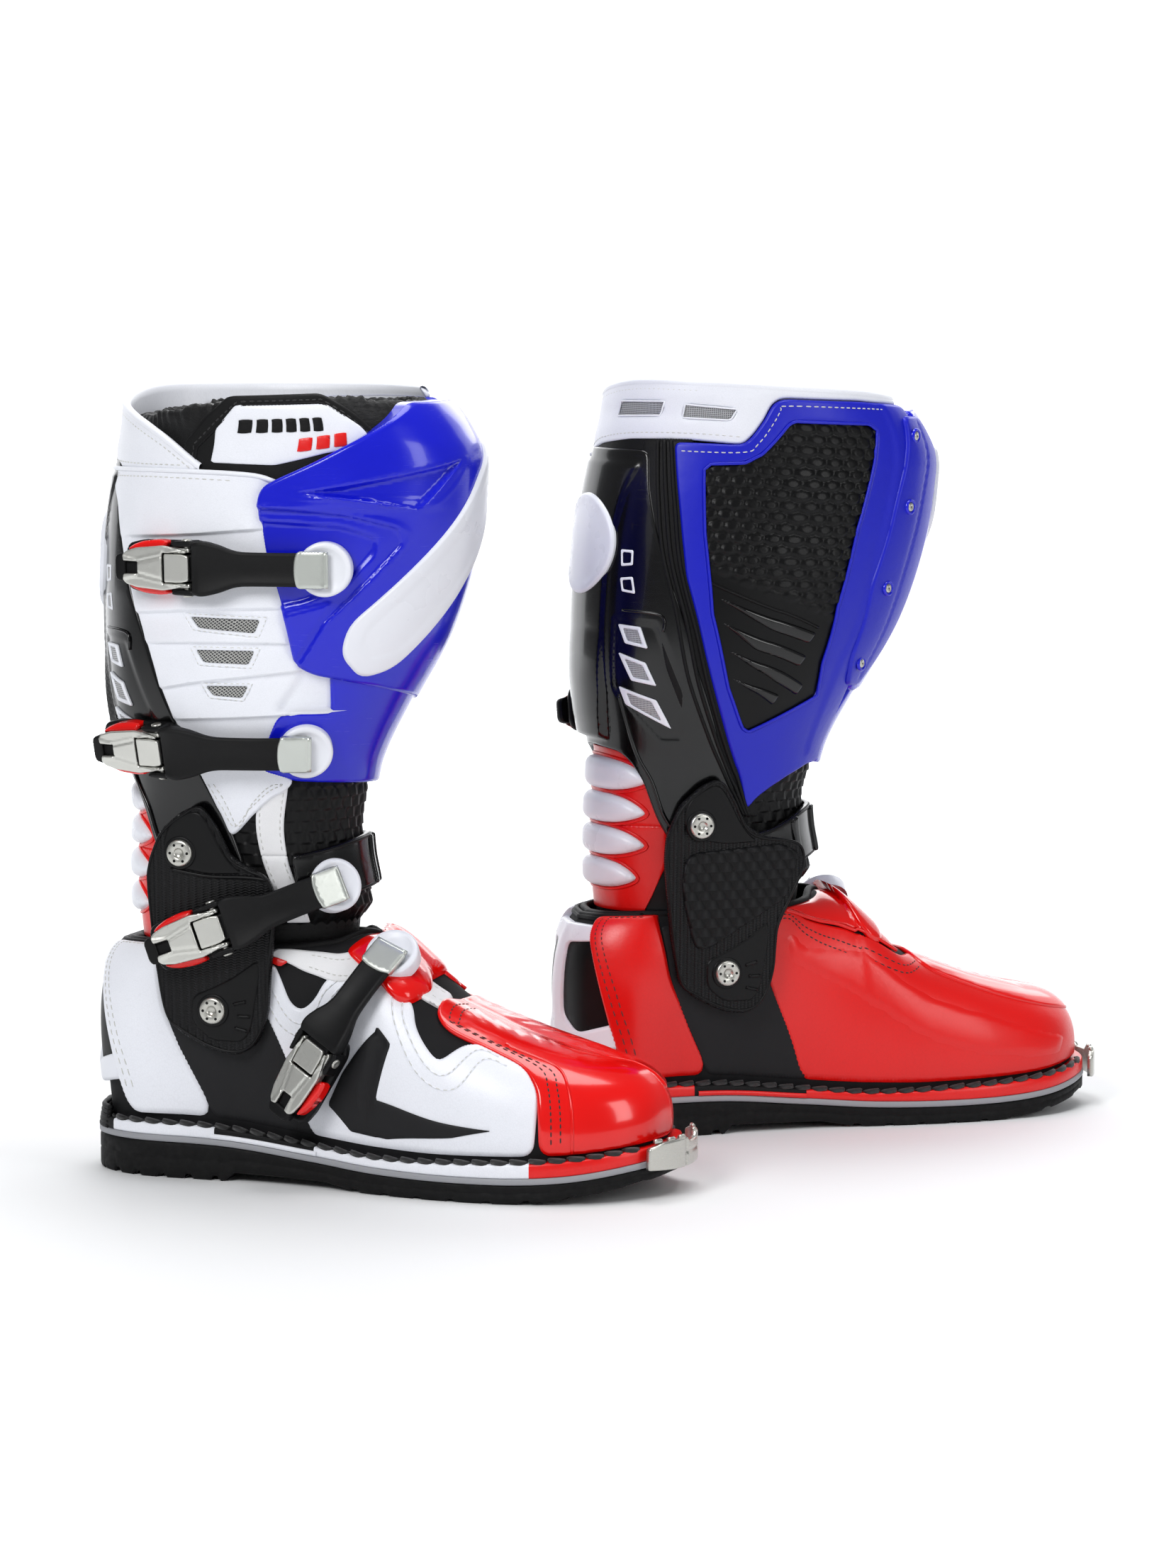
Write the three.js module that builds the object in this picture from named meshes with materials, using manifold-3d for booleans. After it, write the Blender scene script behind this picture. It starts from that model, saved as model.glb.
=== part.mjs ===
// A pair of motocross boots, right and left, in millimetres with +Z up.
// Each boot is drawn once in its own frame: +X to the toe, heel at x = 0, sole on z = 0,
// lateral side (buckles) at -Y. The left boot is the right one mirrored in Y.
import * as THREE from "three";
import { mergeVertices } from "three/addons/utils/BufferGeometryUtils.js";
import Module from "manifold-3d";

const wasm = await Module();
wasm.setup();

// ---------------------------------------------------------------- driving dimensions
const GAP = 0.4; // clearance between neighbouring pieces
const RIGHT_STANCE = { x: -233.6, y: -75.8, yaw: -16.9, lean: 0 }; // heel, from the left heel, and degrees
const LEFT_STANCE = { x: 0, y: 0, yaw: 20.6, lean: 3.4 }; // this shaft stands slightly flexed
const LOWER_PIVOT = { x: 81.5, z: 89 }; // plate to foot
const UPPER_PIVOT = { x: 65.5, z: 169 }; // shaft to plate
const PLATE_IN = 46; // inner face of the ankle plates at the lower bolt, from the centre plane
const PLATE_SPLAY = 0.034; // how much the plates open out with height
const PLATE_THICK = 3.4;
const BOLT_HEAD_R = 6.8;
const BOLT_SHANK_R = 3.2;
const BOLT_BORE_R = 3.5;
const SHELL_WALL = 3.2; // moulded shaft panels
const UPPER_WALL = 3.6; // leather of the foot
const LINER_WALL = 8;
const WELT_WIDTH = 6.5;
const BUCKLE_WIDTH = 26;
const STRAP_WIDTH = 17;
const STRAP_THICK = 3;

// ---------------------------------------------------------------- curves
const mix = (a, b, t) => a + (b - a) * t;
const radians = THREE.MathUtils.degToRad;
const vec = (x, y, z) => new THREE.Vector3(x, y, z);
const range = (n, from = 0, to = 1) => Array.from({ length: n + 1 }, (_, i) => mix(from, to, i / n));

// Smooth value through [t, value] knots, with Catmull-Rom slopes.
function smooth(knots) {
  const slope = (i) => {
    const [a, b] = [knots[Math.max(0, i - 1)], knots[Math.min(knots.length - 1, i + 1)]];
    return (b[1] - a[1]) / (b[0] - a[0]);
  };
  return (t) => {
    const clamped = THREE.MathUtils.clamp(t, knots[0][0], knots.at(-1)[0]);
    let i = 0;
    while (i < knots.length - 2 && clamped > knots[i + 1][0]) i++;
    const [t0, v0] = knots[i];
    const [t1, v1] = knots[i + 1];
    const w = t1 - t0;
    const s = (clamped - t0) / w;
    const h = s * s * (3 - 2 * s);
    const bend = s * (1 - s) * w * (slope(i) * (1 - s) - slope(i + 1) * s);
    return mix(v0, v1, h) + bend;
  };
}

// Smooth function from values at equal steps of 0 to 1.
const evenly = (values) => smooth(values.map((v, i) => [i / (values.length - 1), v]));

// ---------------------------------------------------------------- form of the shaft
// Level section at height z: a superellipse. Angle 0 is the back, 90 lateral, 180 front, 270 medial.
const shaftBack = smooth([[100, 30], [135, 26], [168, 26], [190, 27], [206, 25.5], [250, 15.5], [295, 13.5], [340, 16], [385, 24]]);
const shaftFront = smooth([
  [100, 141], [130, 147], [150, 145], [165, 142], [180, 141], [195, 143], [215, 147], [240, 159], [282, 182],
  [326, 195], [362, 198.5], [373, 197], [382, 192.6], [390, 187.4], [402, 177],
]);
const shaftHalf = smooth([[100, 38], [135, 39.5], [168, 41], [190, 43.5], [205, 46.5], [245, 56], [290, 61], [335, 62], [385, 60]]);
const SHAFT_POWER = 2.25;

function shaftPoint(angle, z, off = 0) {
  const a = (shaftFront(z) - shaftBack(z)) / 2;
  const b = shaftHalf(z);
  const round = (v) => Math.sign(v) * Math.abs(v) ** (2 / SHAFT_POWER);
  const c = round(Math.cos(radians(angle)));
  const s = round(Math.sin(radians(angle)));
  const out = new THREE.Vector2(
    (Math.sign(c) * Math.abs(c) ** (SHAFT_POWER - 1)) / a,
    (Math.sign(s) * Math.abs(s) ** (SHAFT_POWER - 1)) / b,
  ).normalize();
  return vec(shaftBack(z) + a - a * c - off * out.x, -b * s - off * out.y, z);
}

// ---------------------------------------------------------------- form of the foot
// Stations run from the heel back (0) to the toe tip (1) along each side. A meridian rises from
// the welt to the rim of the ankle opening, or to the ridge in front of it.
const footBaseX = evenly([8, 15, 38, 76, 110, 140, 170, 205, 243, 276, 299, 306.5]);
const footBaseLateral = evenly([0, 21, 34, 36, 37.5, 41.5, 48, 53, 52.5, 43.5, 23.5, 0]);
const footBaseMedial = evenly([0, 21, 33.5, 34.5, 34.5, 36.5, 42, 47.5, 49, 43, 24.5, 0]);
const footTopX = evenly([20, 25, 46, 80, 112, 138, 156, 190, 222, 250, 268, 276]);
const footTopY = evenly([0, 20, 33, 38, 36, 24, 0, 0, 0, 0, 0, 0]);
const footTopZ = evenly([118, 119, 120, 120, 120, 122, 124, 95, 79.5, 70, 65.5, 63.5]);
const footBulge = evenly([5, 6, 7, 6.5, 5, 3.5, 3, 3, 3, 2, 2, 3]);
const OPENING_END = 6 / 11; // station where the ridge starts
const FOOT_POWER = 0.82;
const weltTop = smooth([[0, 28], [80, 27.5], [130, 22], [171, 18.5], [229, 20], [270, 22.5], [312, 28]]);
const outsoleTop = smooth([[0, 18.5], [80, 18], [130, 13.5], [171, 10.3], [229, 9.5], [270, 11.5], [316, 18.5]]);

function footPoint(side, station, v, off = 0) {
  const half = (side < 0 ? footBaseLateral : footBaseMedial)(station);
  const step = 1e-3;
  const next = (side < 0 ? footBaseLateral : footBaseMedial)(Math.min(1, station + step));
  const prev = (side < 0 ? footBaseLateral : footBaseMedial)(Math.max(0, station - step));
  const along = new THREE.Vector2(
    footBaseX(Math.min(1, station + step)) - footBaseX(Math.max(0, station - step)),
    next - prev,
  );
  // Across the heel back and the toe tip the outline runs straight sideways.
  if (station < step) along.set(0, 1);
  if (station > 1 - step) along.set(0, -1);
  along.normalize();
  const out = off + footBulge(station) * Math.sin(Math.PI * v);
  const base = vec(footBaseX(station) - out * along.y, half + out * along.x, weltTop(footBaseX(station)));
  const opening = station < OPENING_END;
  const rimY = opening ? Math.max(0, footTopY(station)) : 0;
  const reach = opening ? off : 0;
  const centre = 90;
  const lean = vec(footTopX(station) - centre, rimY, 0).normalize();
  const top = vec(
    footTopX(station) + reach * lean.x,
    rimY + reach * lean.y,
    footTopZ(station) + (opening ? 0 : off),
  );
  const h = 1 - Math.cos((v * Math.PI) / 2) ** FOOT_POWER;
  const g = Math.sin((v * Math.PI) / 2) ** FOOT_POWER;
  return vec(mix(base.x, top.x, h), side * mix(base.y, top.y, h), mix(base.z, top.z, g));
}

// ---------------------------------------------------------------- closed solids from grids
function solidFrom(triangles) {
  const positions = triangles.flatMap((t) => t.flatMap((p) => [p.x, p.y, p.z]));
  const raw = new THREE.BufferGeometry();
  raw.setAttribute("position", new THREE.Float32BufferAttribute(positions, 3));
  const merged = mergeVertices(raw, 1e-3);
  const index = [...merged.index.array];
  const kept = [];
  for (let i = 0; i < index.length; i += 3) {
    const [a, b, c] = index.slice(i, i + 3);
    if (a !== b && b !== c && a !== c) kept.push(a, b, c);
  }
  const build = (triVerts) =>
    new wasm.Manifold(
      new wasm.Mesh({
        numProp: 3,
        vertProperties: new Float32Array(merged.attributes.position.array),
        triVerts: new Uint32Array(triVerts),
      }),
    );
  const made = build(kept);
  if (made.volume() > 0) return made;
  const turned = [];
  for (let i = 0; i < kept.length; i += 3) turned.push(kept[i], kept[i + 2], kept[i + 1]);
  return build(turned);
}

const quad = (a, b, c, d) => [[a, b, c], [a, c, d]];

// A wall between two grids of points, rows by columns. Wrapped grids close on themselves.
function wall(outer, inner, { wrap = false, topOpen = () => true } = {}) {
  const rows = outer.length;
  const columns = outer[0].length;
  const steps = wrap ? columns : columns - 1;
  const faces = [];
  for (let j = 0; j < steps; j++) {
    const k = (j + 1) % columns;
    for (let i = 0; i < rows - 1; i++) {
      faces.push(...quad(outer[i][j], outer[i][k], outer[i + 1][k], outer[i + 1][j]));
      faces.push(...quad(inner[i][k], inner[i][j], inner[i + 1][j], inner[i + 1][k]));
    }
    faces.push(...quad(inner[0][j], inner[0][k], outer[0][k], outer[0][j]));
    if (topOpen(j)) {
      const t = rows - 1;
      faces.push(...quad(outer[t][j], outer[t][k], inner[t][k], inner[t][j]));
    }
  }
  if (!wrap)
    for (let i = 0; i < rows - 1; i++) {
      const e = columns - 1;
      faces.push(...quad(outer[i + 1][0], inner[i + 1][0], inner[i][0], outer[i][0]));
      faces.push(...quad(outer[i][e], inner[i][e], inner[i + 1][e], outer[i + 1][e]));
    }
  return solidFrom(faces);
}

// A solid through closed rings of points, with flat ends.
function loft(rings) {
  const faces = [];
  const count = rings[0].length;
  rings.slice(1).forEach((ring, i) => {
    for (let j = 0; j < count; j++) {
      const k = (j + 1) % count;
      faces.push(...quad(rings[i][j], rings[i][k], ring[k], ring[j]));
    }
  });
  const cap = (ring, turn) => {
    const middle = ring.reduce((s, p) => s.add(p), vec(0, 0, 0)).divideScalar(count);
    for (let j = 0; j < count; j++) {
      const k = (j + 1) % count;
      faces.push(turn ? [middle, ring[k], ring[j]] : [middle, ring[j], ring[k]]);
    }
  };
  cap(rings[0], true);
  cap(rings.at(-1), false);
  return solidFrom(faces);
}

// A three.js geometry as a solid.
function solidOf(geometry) {
  const g = geometry.index ? geometry.toNonIndexed() : geometry.clone();
  g.deleteAttribute("normal");
  g.deleteAttribute("uv");
  const p = g.getAttribute("position");
  const at = (i) => vec(p.getX(i), p.getY(i), p.getZ(i));
  return solidFrom(Array.from({ length: p.count / 3 }, (_, i) => [at(3 * i), at(3 * i + 1), at(3 * i + 2)]));
}

// A solid moved into a frame of three axes at a point.
function placed(solid, origin, along, out, across) {
  const m = new THREE.Matrix4().makeBasis(along, out, across).setPosition(origin);
  return solid.transform(m.elements);
}

const block = (x0, x1, y0, y1, z0, z1) =>
  solidOf(new THREE.BoxGeometry(x1 - x0, y1 - y0, z1 - z0).translate((x0 + x1) / 2, (y0 + y1) / 2, (z0 + z1) / 2));

// A cylinder along local z.
const rod = (radius, z0, z1, x = 0, y = 0, sides = 10) =>
  solidOf(new THREE.CylinderGeometry(radius, radius, z1 - z0, sides).rotateX(Math.PI / 2).translate(x, y, (z0 + z1) / 2));

// ---------------------------------------------------------------- sole
const SOLE_STATIONS = [0, 0.02, 0.05, 0.09, 0.14, 0.2, 0.28, 0.36, 0.45, 0.54, 0.62, 0.7, 0.78, 0.84, 0.89, 0.93, 0.965, 0.985, 1];
const HEEL_BREAST = 84;
const ARCH_RISE = 4.5;
const soleBottom = smooth([[140, 3.6], [158, 0.8], [180, 0], [232, 0], [262, 2.2], [290, 7], [318, 13]]);

function bottomAt(x) {
  if (x < HEEL_BREAST) return 0;
  if (x < HEEL_BREAST + 5) return (ARCH_RISE * (x - HEEL_BREAST)) / 5;
  return x < 140 ? mix(ARCH_RISE, 3.6, (x - HEEL_BREAST - 5) / (135 - HEEL_BREAST)) : Math.max(0, soleBottom(x));
}

// Outline of the sole at a station: the foot's outline, let out by the welt.
function soleEdge(side, station, off) {
  const p = footPoint(side, station, 0, off);
  return vec(p.x, p.y, 0);
}

function soleSlab(off, low, high, stations) {
  const ring = (station) => {
    const right = soleEdge(-1, station, off);
    const left = soleEdge(1, station, off);
    const across = range(4);
    const level = (height) => across.map((t) => vec(mix(right.x, left.x, t), mix(right.y, left.y, t), height(mix(right.x, left.x, t))));
    return [...level(low), ...level(high).reverse()];
  };
  return loft(stations.map(ring));
}

function outsole() {
  return soleSlab(WELT_WIDTH, bottomAt, (x) => outsoleTop(x), [...SOLE_STATIONS.slice(0, 8), 0.3, 0.305, 0.33, ...SOLE_STATIONS.slice(8)].sort((a, b) => a - b));
}

function midsole() {
  return soleSlab(WELT_WIDTH, (x) => outsoleTop(x) + GAP, (x) => weltTop(x) - GAP, SOLE_STATIONS);
}

// Steel cap over the toe end of the sole.
function toeGuard() {
  const turn = range(10, -34, 34);
  const radius = 46;
  const centre = vec(316 + 1.2 - radius, 0, 0);
  const at = (angle, r, z) => vec(centre.x + r * Math.cos(radians(angle)), r * Math.sin(radians(angle)), z);
  const low = 15;
  const high = 30;
  const grid = (r) => [low, high].map((z) => turn.map((angle) => at(angle, r, z)));
  return wall(grid(radius + 2), grid(radius)).subtract(
    soleSlab(WELT_WIDTH + 0.3, (x) => bottomAt(x) - 1, (x) => weltTop(x) + 1, SOLE_STATIONS),
  );
}

// ---------------------------------------------------------------- foot
const SEAT_IN = 38.5;
const FOOT_STATIONS = range(22);
const MERIDIAN = [0, 0.2, 0.4, 0.6, 0.8, 1];

function footGrid(off, low = 0) {
  const loop = [...FOOT_STATIONS.map((s) => [-1, s]), ...FOOT_STATIONS.slice(1, -1).reverse().map((s) => [1, s])];
  return MERIDIAN.map((v) => loop.map(([side, s]) => {
    const p = footPoint(side, s, v, off);
    return v === 0 ? p.setZ(p.z + low) : p;
  }));
}

const rimColumns = Math.round(OPENING_END * (FOOT_STATIONS.length - 1));
const footColumns = 2 * (FOOT_STATIONS.length - 1);
const topOpen = (j) => j < rimColumns || j >= footColumns - rimColumns;

// The wall of the foot and the clearance around it.
const footRoom = () => wall(footGrid(GAP), footGrid(-UPPER_WALL), { wrap: true, topOpen });

function footUpper() {
  const shell = wall(footGrid(0), footGrid(-UPPER_WALL), { wrap: true, topOpen });
  // Flat seats that carry the lower bolts of the ankle plates.
  const seat = (side) => {
    const depth = PLATE_IN - 0.8 - SEAT_IN;
    const disc = new THREE.CylinderGeometry(11, 11, depth, 20).translate(0, side * (SEAT_IN + depth / 2), 0);
    return solidOf(disc).translate(LOWER_PIVOT.x, 0, LOWER_PIVOT.z);
  };
  const bore = solidOf(new THREE.CylinderGeometry(BOLT_BORE_R, BOLT_BORE_R, 140, 12))
    .translate(LOWER_PIVOT.x, 0, LOWER_PIVOT.z);
  return shell.add(seat(-1)).add(seat(1)).subtract(bore);
}

function heelCup() {
  const span = [0.19, 0.15, 0.11, 0.075, 0.045, 0.02];
  const loop = [...span.map((s) => [-1, s]), [1, 0], ...span.slice().reverse().map((s) => [1, s])];
  const rows = [0.1, 0.25, 0.42, 0.6, 0.76];
  const grid = (off) => rows.map((v) => loop.map(([side, s]) => footPoint(side, s, v, off)));
  return wall(grid(4.2), grid(0.5)).subtract(footRoom());
}

// ---------------------------------------------------------------- shaft panels
// A panel between two edge angles (by height) and two edge heights (by share across).
function panel({ from, to, low, high, inner, outer, across = 8, up = 6 }) {
  const grid = (off) =>
    range(up).map((t) =>
      range(across).map((s) => {
        const z = mix(low(s), high(s), t);
        return shaftPoint(mix(from(z), to(z), s), z, off(s, t));
      }),
    );
  return wall(grid(outer), grid(inner));
}

const constant = (v) => () => v;
const backEdge = smooth([[146, 104], [175, 97], [200, 84], [225, 70], [260, 58], [300, 55], [350, 58]]);
const plateEdge = smooth([[200, 108], [240, 111], [262, 116], [275, 109], [315, 98], [345, 93], [390, 98]]);
const screwEdge = smooth([[200, 214], [245, 222], [300, 224], [345, 222], [390, 214]]);
const PANEL_GAP = 1; // degrees

// Back shell: a rear plate above the heel flex, with a leg down each side to the upper bolts.
function shaftShell() {
  const reach = (s) => Math.abs(s - 0.5) * 2;
  const shell = panel({
    from: (z) => -backEdge(z) + PANEL_GAP,
    to: (z) => backEdge(z) - PANEL_GAP,
    low: (s) => (reach(s) < 0.38 ? 208 : mix(208, 148, Math.min(1, (reach(s) - 0.38) / 0.16))),
    high: constant(350),
    inner: constant(0.4),
    outer: constant(0.4 + SHELL_WALL),
    across: 18,
    up: 7,
  });
  const bore = solidOf(new THREE.CylinderGeometry(BOLT_BORE_R, BOLT_BORE_R, 140, 12))
    .translate(UPPER_PIVOT.x, 0, UPPER_PIVOT.z);
  return shell.subtract(bore);
}

function lateralPanel() {
  return panel({
    from: (z) => backEdge(z) + PANEL_GAP,
    to: (z) => plateEdge(z) - PANEL_GAP,
    low: evenly([216, 194, 180, 186, 200, 206, 208]),
    high: evenly([352, 353, 354, 352]),
    inner: constant(0.4),
    outer: constant(0.4 + SHELL_WALL),
  });
}

const RECEIVER_R = 13.5;
const RECEIVER_THICK = 2.5;
const RECEIVER_ROOT = 5;
const HOOK_GAP = 4.3; // from the middle of a strap down to the foot of its receiver
const SHIN_IN = 1;
const SHIN_THICK = 6;

// The receiver disc just under a strap's hook.
function receiver({ at: hook, out, along }) {
  const at = hook.clone().addScaledVector(out, -HOOK_GAP);
  const across = along.clone().cross(out);
  const disc = rod(RECEIVER_R, -RECEIVER_ROOT, RECEIVER_THICK, 0, 0, 20);
  return placed(disc, at, along, across.clone().negate(), out);
}

const TOP_STRAP = { z: 314, from: 57, to: 118, offs: [12.8, 11.6, 12, 13, 14.2], core: vec(100, 0, 316) };
const CALF_STRAP = { z: 221, from: 40, to: 131, offs: [12.5, 11.6, 12, 13, 14.2], core: vec(85, 0, 235) };
const HOOK_SHARE = 0.965; // of the way along the strap

function shinPlate() {
  const ridge = (s) => 3.5 * Math.max(0, 1 - Math.abs(s - 0.58) / 0.42);
  let plate = panel({
    from: (z) => plateEdge(z) + PANEL_GAP,
    to: (z) => screwEdge(z) - PANEL_GAP,
    low: evenly([208, 205, 203, 202, 203]),
    high: evenly([357, 378, 392, 396, 394]),
    inner: constant(SHIN_IN),
    outer: (s) => SHIN_IN + SHIN_THICK + ridge(s),
    across: 10,
    up: 14,
  });
  for (const strap of [TOP_STRAP, CALF_STRAP])
    plate = plate.add(receiver(framesAlong(shaftStrapPoints(strap), strap.core)(HOOK_SHARE)));
  return plate;
}

function medialPanel() {
  return panel({
    from: (z) => screwEdge(z) + PANEL_GAP,
    to: (z) => 360 - backEdge(z) - PANEL_GAP,
    low: evenly([206, 196, 180, 190, 216]),
    high: evenly([392, 390, 386, 366, 352]),
    inner: constant(0.4),
    outer: constant(0.4 + SHELL_WALL + 1),
    up: 11,
  });
}

// Padded lining with its collar, inside all the shaft panels.
const LINER_GAP = 1.4;
const LINER_LOW = 212;
const LINER_HIGH = 401;

function liner() {
  const grid = (off) =>
    [LINER_LOW, 226, 240, 256, 275, 305, 345, 364, 375, 385, 393, LINER_HIGH].map((z) =>
      range(23, 0, 360 - 360 / 24).map((angle) => shaftPoint(angle, z, off)),
    );
  return wall(grid(-LINER_GAP), grid(-LINER_GAP - LINER_WALL), { wrap: true });
}

// Flexible leather around the ankle, between the rim of the foot and the lining.
function ankleGaiter() {
  const grid = (off) =>
    [136, 152, 170, 194].map((z) => range(23, 0, 360 - 360 / 24).map((angle) => shaftPoint(angle, z, off)));
  return wall(grid(-2.5), grid(-6.5), { wrap: true });
}

// ---------------------------------------------------------------- ankle plates
const plateOut = (x, z) => PLATE_IN + PLATE_SPLAY * (z - LOWER_PIVOT.z) - 0.0012 * (x - 76) ** 2;

// Outline of the ankle plate in side view, toe to the right.
const PLATE_REAR = [
  [112, 112], [110, 88], [104, 72], [94, 66], [80, 68], [64, 76], [55, 84], [50, 110], [46, 150], [47, 164],
  [54, 180], [66, 190], [76, 194], [84, 184], [92, 168],
];
const LATERAL_FRONT = [[102, 162], [111, 158], [115, 148], [114, 130]];
const MEDIAL_FRONT = [[102, 162], [124, 158], [128, 146], [120, 128]];

function plateShape(side) {
  const outline = [...PLATE_REAR, ...(side < 0 ? LATERAL_FRONT : MEDIAL_FRONT)];
  const shape = new THREE.Shape(outline.map(([x, z]) => new THREE.Vector2(x, z)));
  const extruded = new THREE.ExtrudeGeometry(shape, { depth: 30, bevelEnabled: false, steps: 1 });
  return solidOf(extruded.rotateX(Math.PI / 2).translate(0, 15, 0));
}

function anklePlate(side) {
  const xs = range(8, 36, 136);
  const sheet = (extra) => [50, 200].map((z) => xs.map((x) => vec(x, side * (plateOut(x, z) + extra), z)));
  const slab = wall(sheet(PLATE_THICK), sheet(0));
  const outline = plateShape(side).translate(0, side * (PLATE_IN - 2), 0);
  const bores = [LOWER_PIVOT, UPPER_PIVOT]
    .map(({ x, z }) => solidOf(new THREE.CylinderGeometry(BOLT_BORE_R, BOLT_BORE_R, 140, 12)).translate(x, 0, z))
    .reduce((a, b) => a.add(b));
  return slab.intersect(outline).subtract(bores);
}

// Band that runs from the medial plate over the instep to the ankle receiver.
const BAND_WIDTH = 27;
const bandHeight = smooth([[112, 152], [140, 157], [180, 162], [220, 160], [250, 152], [265, 149]]);
const bandOff = smooth([[112, 2.6], [210, 2.6], [240, 5.4], [255, 7.4], [265, 8]]);

function ankleBand() {
  const ring = (angle) => {
    const { at, out } = shaftFrame(angle, bandHeight(angle), bandOff(angle));
    const corner = (w, n) => at.clone().add(vec(0, 0, (w * BAND_WIDTH) / 2)).addScaledVector(out, n);
    return [corner(-1, 0), corner(1, 0), corner(1, 2.6), corner(-1, 2.6)];
  };
  const hook = framesAlong(ANKLE_STRAP_POINTS, ANKLE_CORE)(HOOK_SHARE);
  return loft(range(12, 124, 265).map(ring)).add(receiver(hook));
}

// Flat-headed bolt along y through a plate and the wall behind it.
function bolt(side, pivot, foot) {
  const headIn = plateOut(pivot.x, pivot.z) + PLATE_THICK + 0.5;
  const profile = [
    [0, foot], [BOLT_SHANK_R, foot], [BOLT_SHANK_R, headIn], [BOLT_HEAD_R, headIn],
    [BOLT_HEAD_R, headIn + 1.6], [BOLT_HEAD_R - 1, headIn + 2.4], [0, headIn + 2.4],
  ].map(([r, y]) => new THREE.Vector2(r, y));
  const turned = solidOf(new THREE.LatheGeometry(profile, 16)).translate(pivot.x, 0, pivot.z);
  return side < 0 ? turned.mirror([0, 1, 0]) : turned;
}

// ---------------------------------------------------------------- frames on the forms
// A point with its outward normal and the direction towards the front.
function shaftFrame(angle, z, off) {
  const at = shaftPoint(angle, z, off);
  const along = shaftPoint(angle + 1, z, off).sub(shaftPoint(angle - 1, z, off)).normalize();
  const out = along.clone().cross(vec(0, 0, 1)).negate().normalize();
  return { at, along, out: out.dot(at.clone().sub(vec(shaftPoint(0, z).x + 60, 0, z))) < 0 ? out.negate() : out };
}

function framesAlong(points, core) {
  const curve = new THREE.CatmullRomCurve3(points);
  return (t) => {
    const at = curve.getPointAt(t);
    const along = curve.getTangentAt(t);
    const away = at.clone().sub(core);
    const out = away.addScaledVector(along, -away.dot(along)).normalize();
    return { at, along, out, across: along.clone().cross(out).normalize() };
  };
}

// ---------------------------------------------------------------- buckles
// In the frame of the lever's pin: x along the strap to the hook, y away from the boot, z across.
const EAR_IN = 10.6;
const CHEEK_IN = 7.6;
const CHEEK_OUT = 10.2;
const STRAP_PIN_X = -6;
const EYE_HALF = 7.2;

function buckleBase() {
  const plate = block(-34, 8, -7.2, -5.2, -BUCKLE_WIDTH / 2, BUCKLE_WIDTH / 2);
  const ear = (s) => block(-4, 4, -6, 3, s > 0 ? EAR_IN : -BUCKLE_WIDTH / 2, s > 0 ? BUCKLE_WIDTH / 2 : -EAR_IN);
  return plate.add(ear(1)).add(ear(-1)).subtract(rod(2, -20, 20));
}

function buckleLever() {
  const plate = block(-36, -13, 1.5, 4, -CHEEK_OUT, CHEEK_OUT);
  const cheek = (s) => block(-15, 3, -2.6, 4, s > 0 ? CHEEK_IN : -CHEEK_OUT, s > 0 ? CHEEK_OUT : -CHEEK_IN);
  const pins = rod(1.5, -CHEEK_OUT, CHEEK_OUT, STRAP_PIN_X).add(rod(1.6, 9, 13.4)).add(rod(1.6, -13.4, -9));
  return plate.add(cheek(1)).add(cheek(-1)).add(pins);
}

// The strap: an eye on the lever's second pin, a thick root, the band and the metal hook plate.
function buckleStrap(frames, start, hook) {
  const f = frames(start);
  const pin = f.at.clone().addScaledVector(f.along, STRAP_PIN_X);
  const eye = placed(
    rod(2.6, -EYE_HALF, EYE_HALF, STRAP_PIN_X).add(block(STRAP_PIN_X, 6.5, -1.5, 1.5, -EYE_HALF, EYE_HALF)),
    f.at, f.along, f.out, f.across,
  );
  const width = smooth([[0, 20], [0.16, 23], [0.36, STRAP_WIDTH], [1, STRAP_WIDTH]]);
  const ring = (share) => {
    const t = mix(start, 1, share);
    const g = frames(t);
    const shift = share === 0 ? 5.5 : 0;
    const half = width(share) / 2;
    const thick = share < 0.3 ? 4.4 : STRAP_THICK;
    const at = g.at.clone().addScaledVector(g.along, shift);
    const corner = (w, n) => at.clone().addScaledVector(g.across, w).addScaledVector(g.out, n);
    return [corner(-half, -1.5), corner(half, -1.5), corner(half, thick - 1.5), corner(-half, thick - 1.5)];
  };
  const shares = [0, 0.14, 0.26, 0.4, 0.55, 0.7, 0.85, 1];
  const band = loft(shares.map(ring));
  const bore = placed(rod(1.9, -20, 20, STRAP_PIN_X), f.at, f.along, f.out, f.across);
  return band.add(eye).add(hook).subtract(bore);
}

// Metal plate at the strap's end, just above its receiver.
function hookPlate(frame) {
  return placed(block(-9, 6, -1.2, 1.8, -9.4, 9.4), frame.at, frame.along, frame.out, frame.across);
}

function buckle(name, points, core, start, looks) {
  const frames = framesAlong(points, core);
  const pinFrame = frames(start);
  const inPlace = (solid) => placed(solid, pinFrame.at, pinFrame.along, pinFrame.out, pinFrame.across);
  return [
    [name + "_buckle_base", inPlace(buckleBase()), looks.red],
    [name + "_buckle_lever", inPlace(buckleLever()), looks.steel],
    [name + "_buckle_strap", buckleStrap(frames, start, hookPlate(frames(HOOK_SHARE))), looks.strap],
  ];
}

function shaftStrapPoints({ z, from, to, offs }) {
  return range(offs.length - 1).map((t, i) => shaftPoint(mix(from, to, t), z, offs[i]));
}

const ANKLE_CORE = vec(95, 0, 135);
const ANKLE_STRAP_POINTS = [
  vec(57, -58.5, 121), vec(89, -59.5, 132.5), vec(112, -54.5, 141), vec(129, -44.5, 148), vec(145, -28.5, 154.5),
];
const FOOT_CORE = vec(150, 0, 50);
const FOOT_STRAP_POINTS = [
  vec(125, -54, 40), vec(139, -57, 71), vec(151, -53, 90), vec(162, -43.5, 108), vec(172, -29, 124),
];

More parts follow.
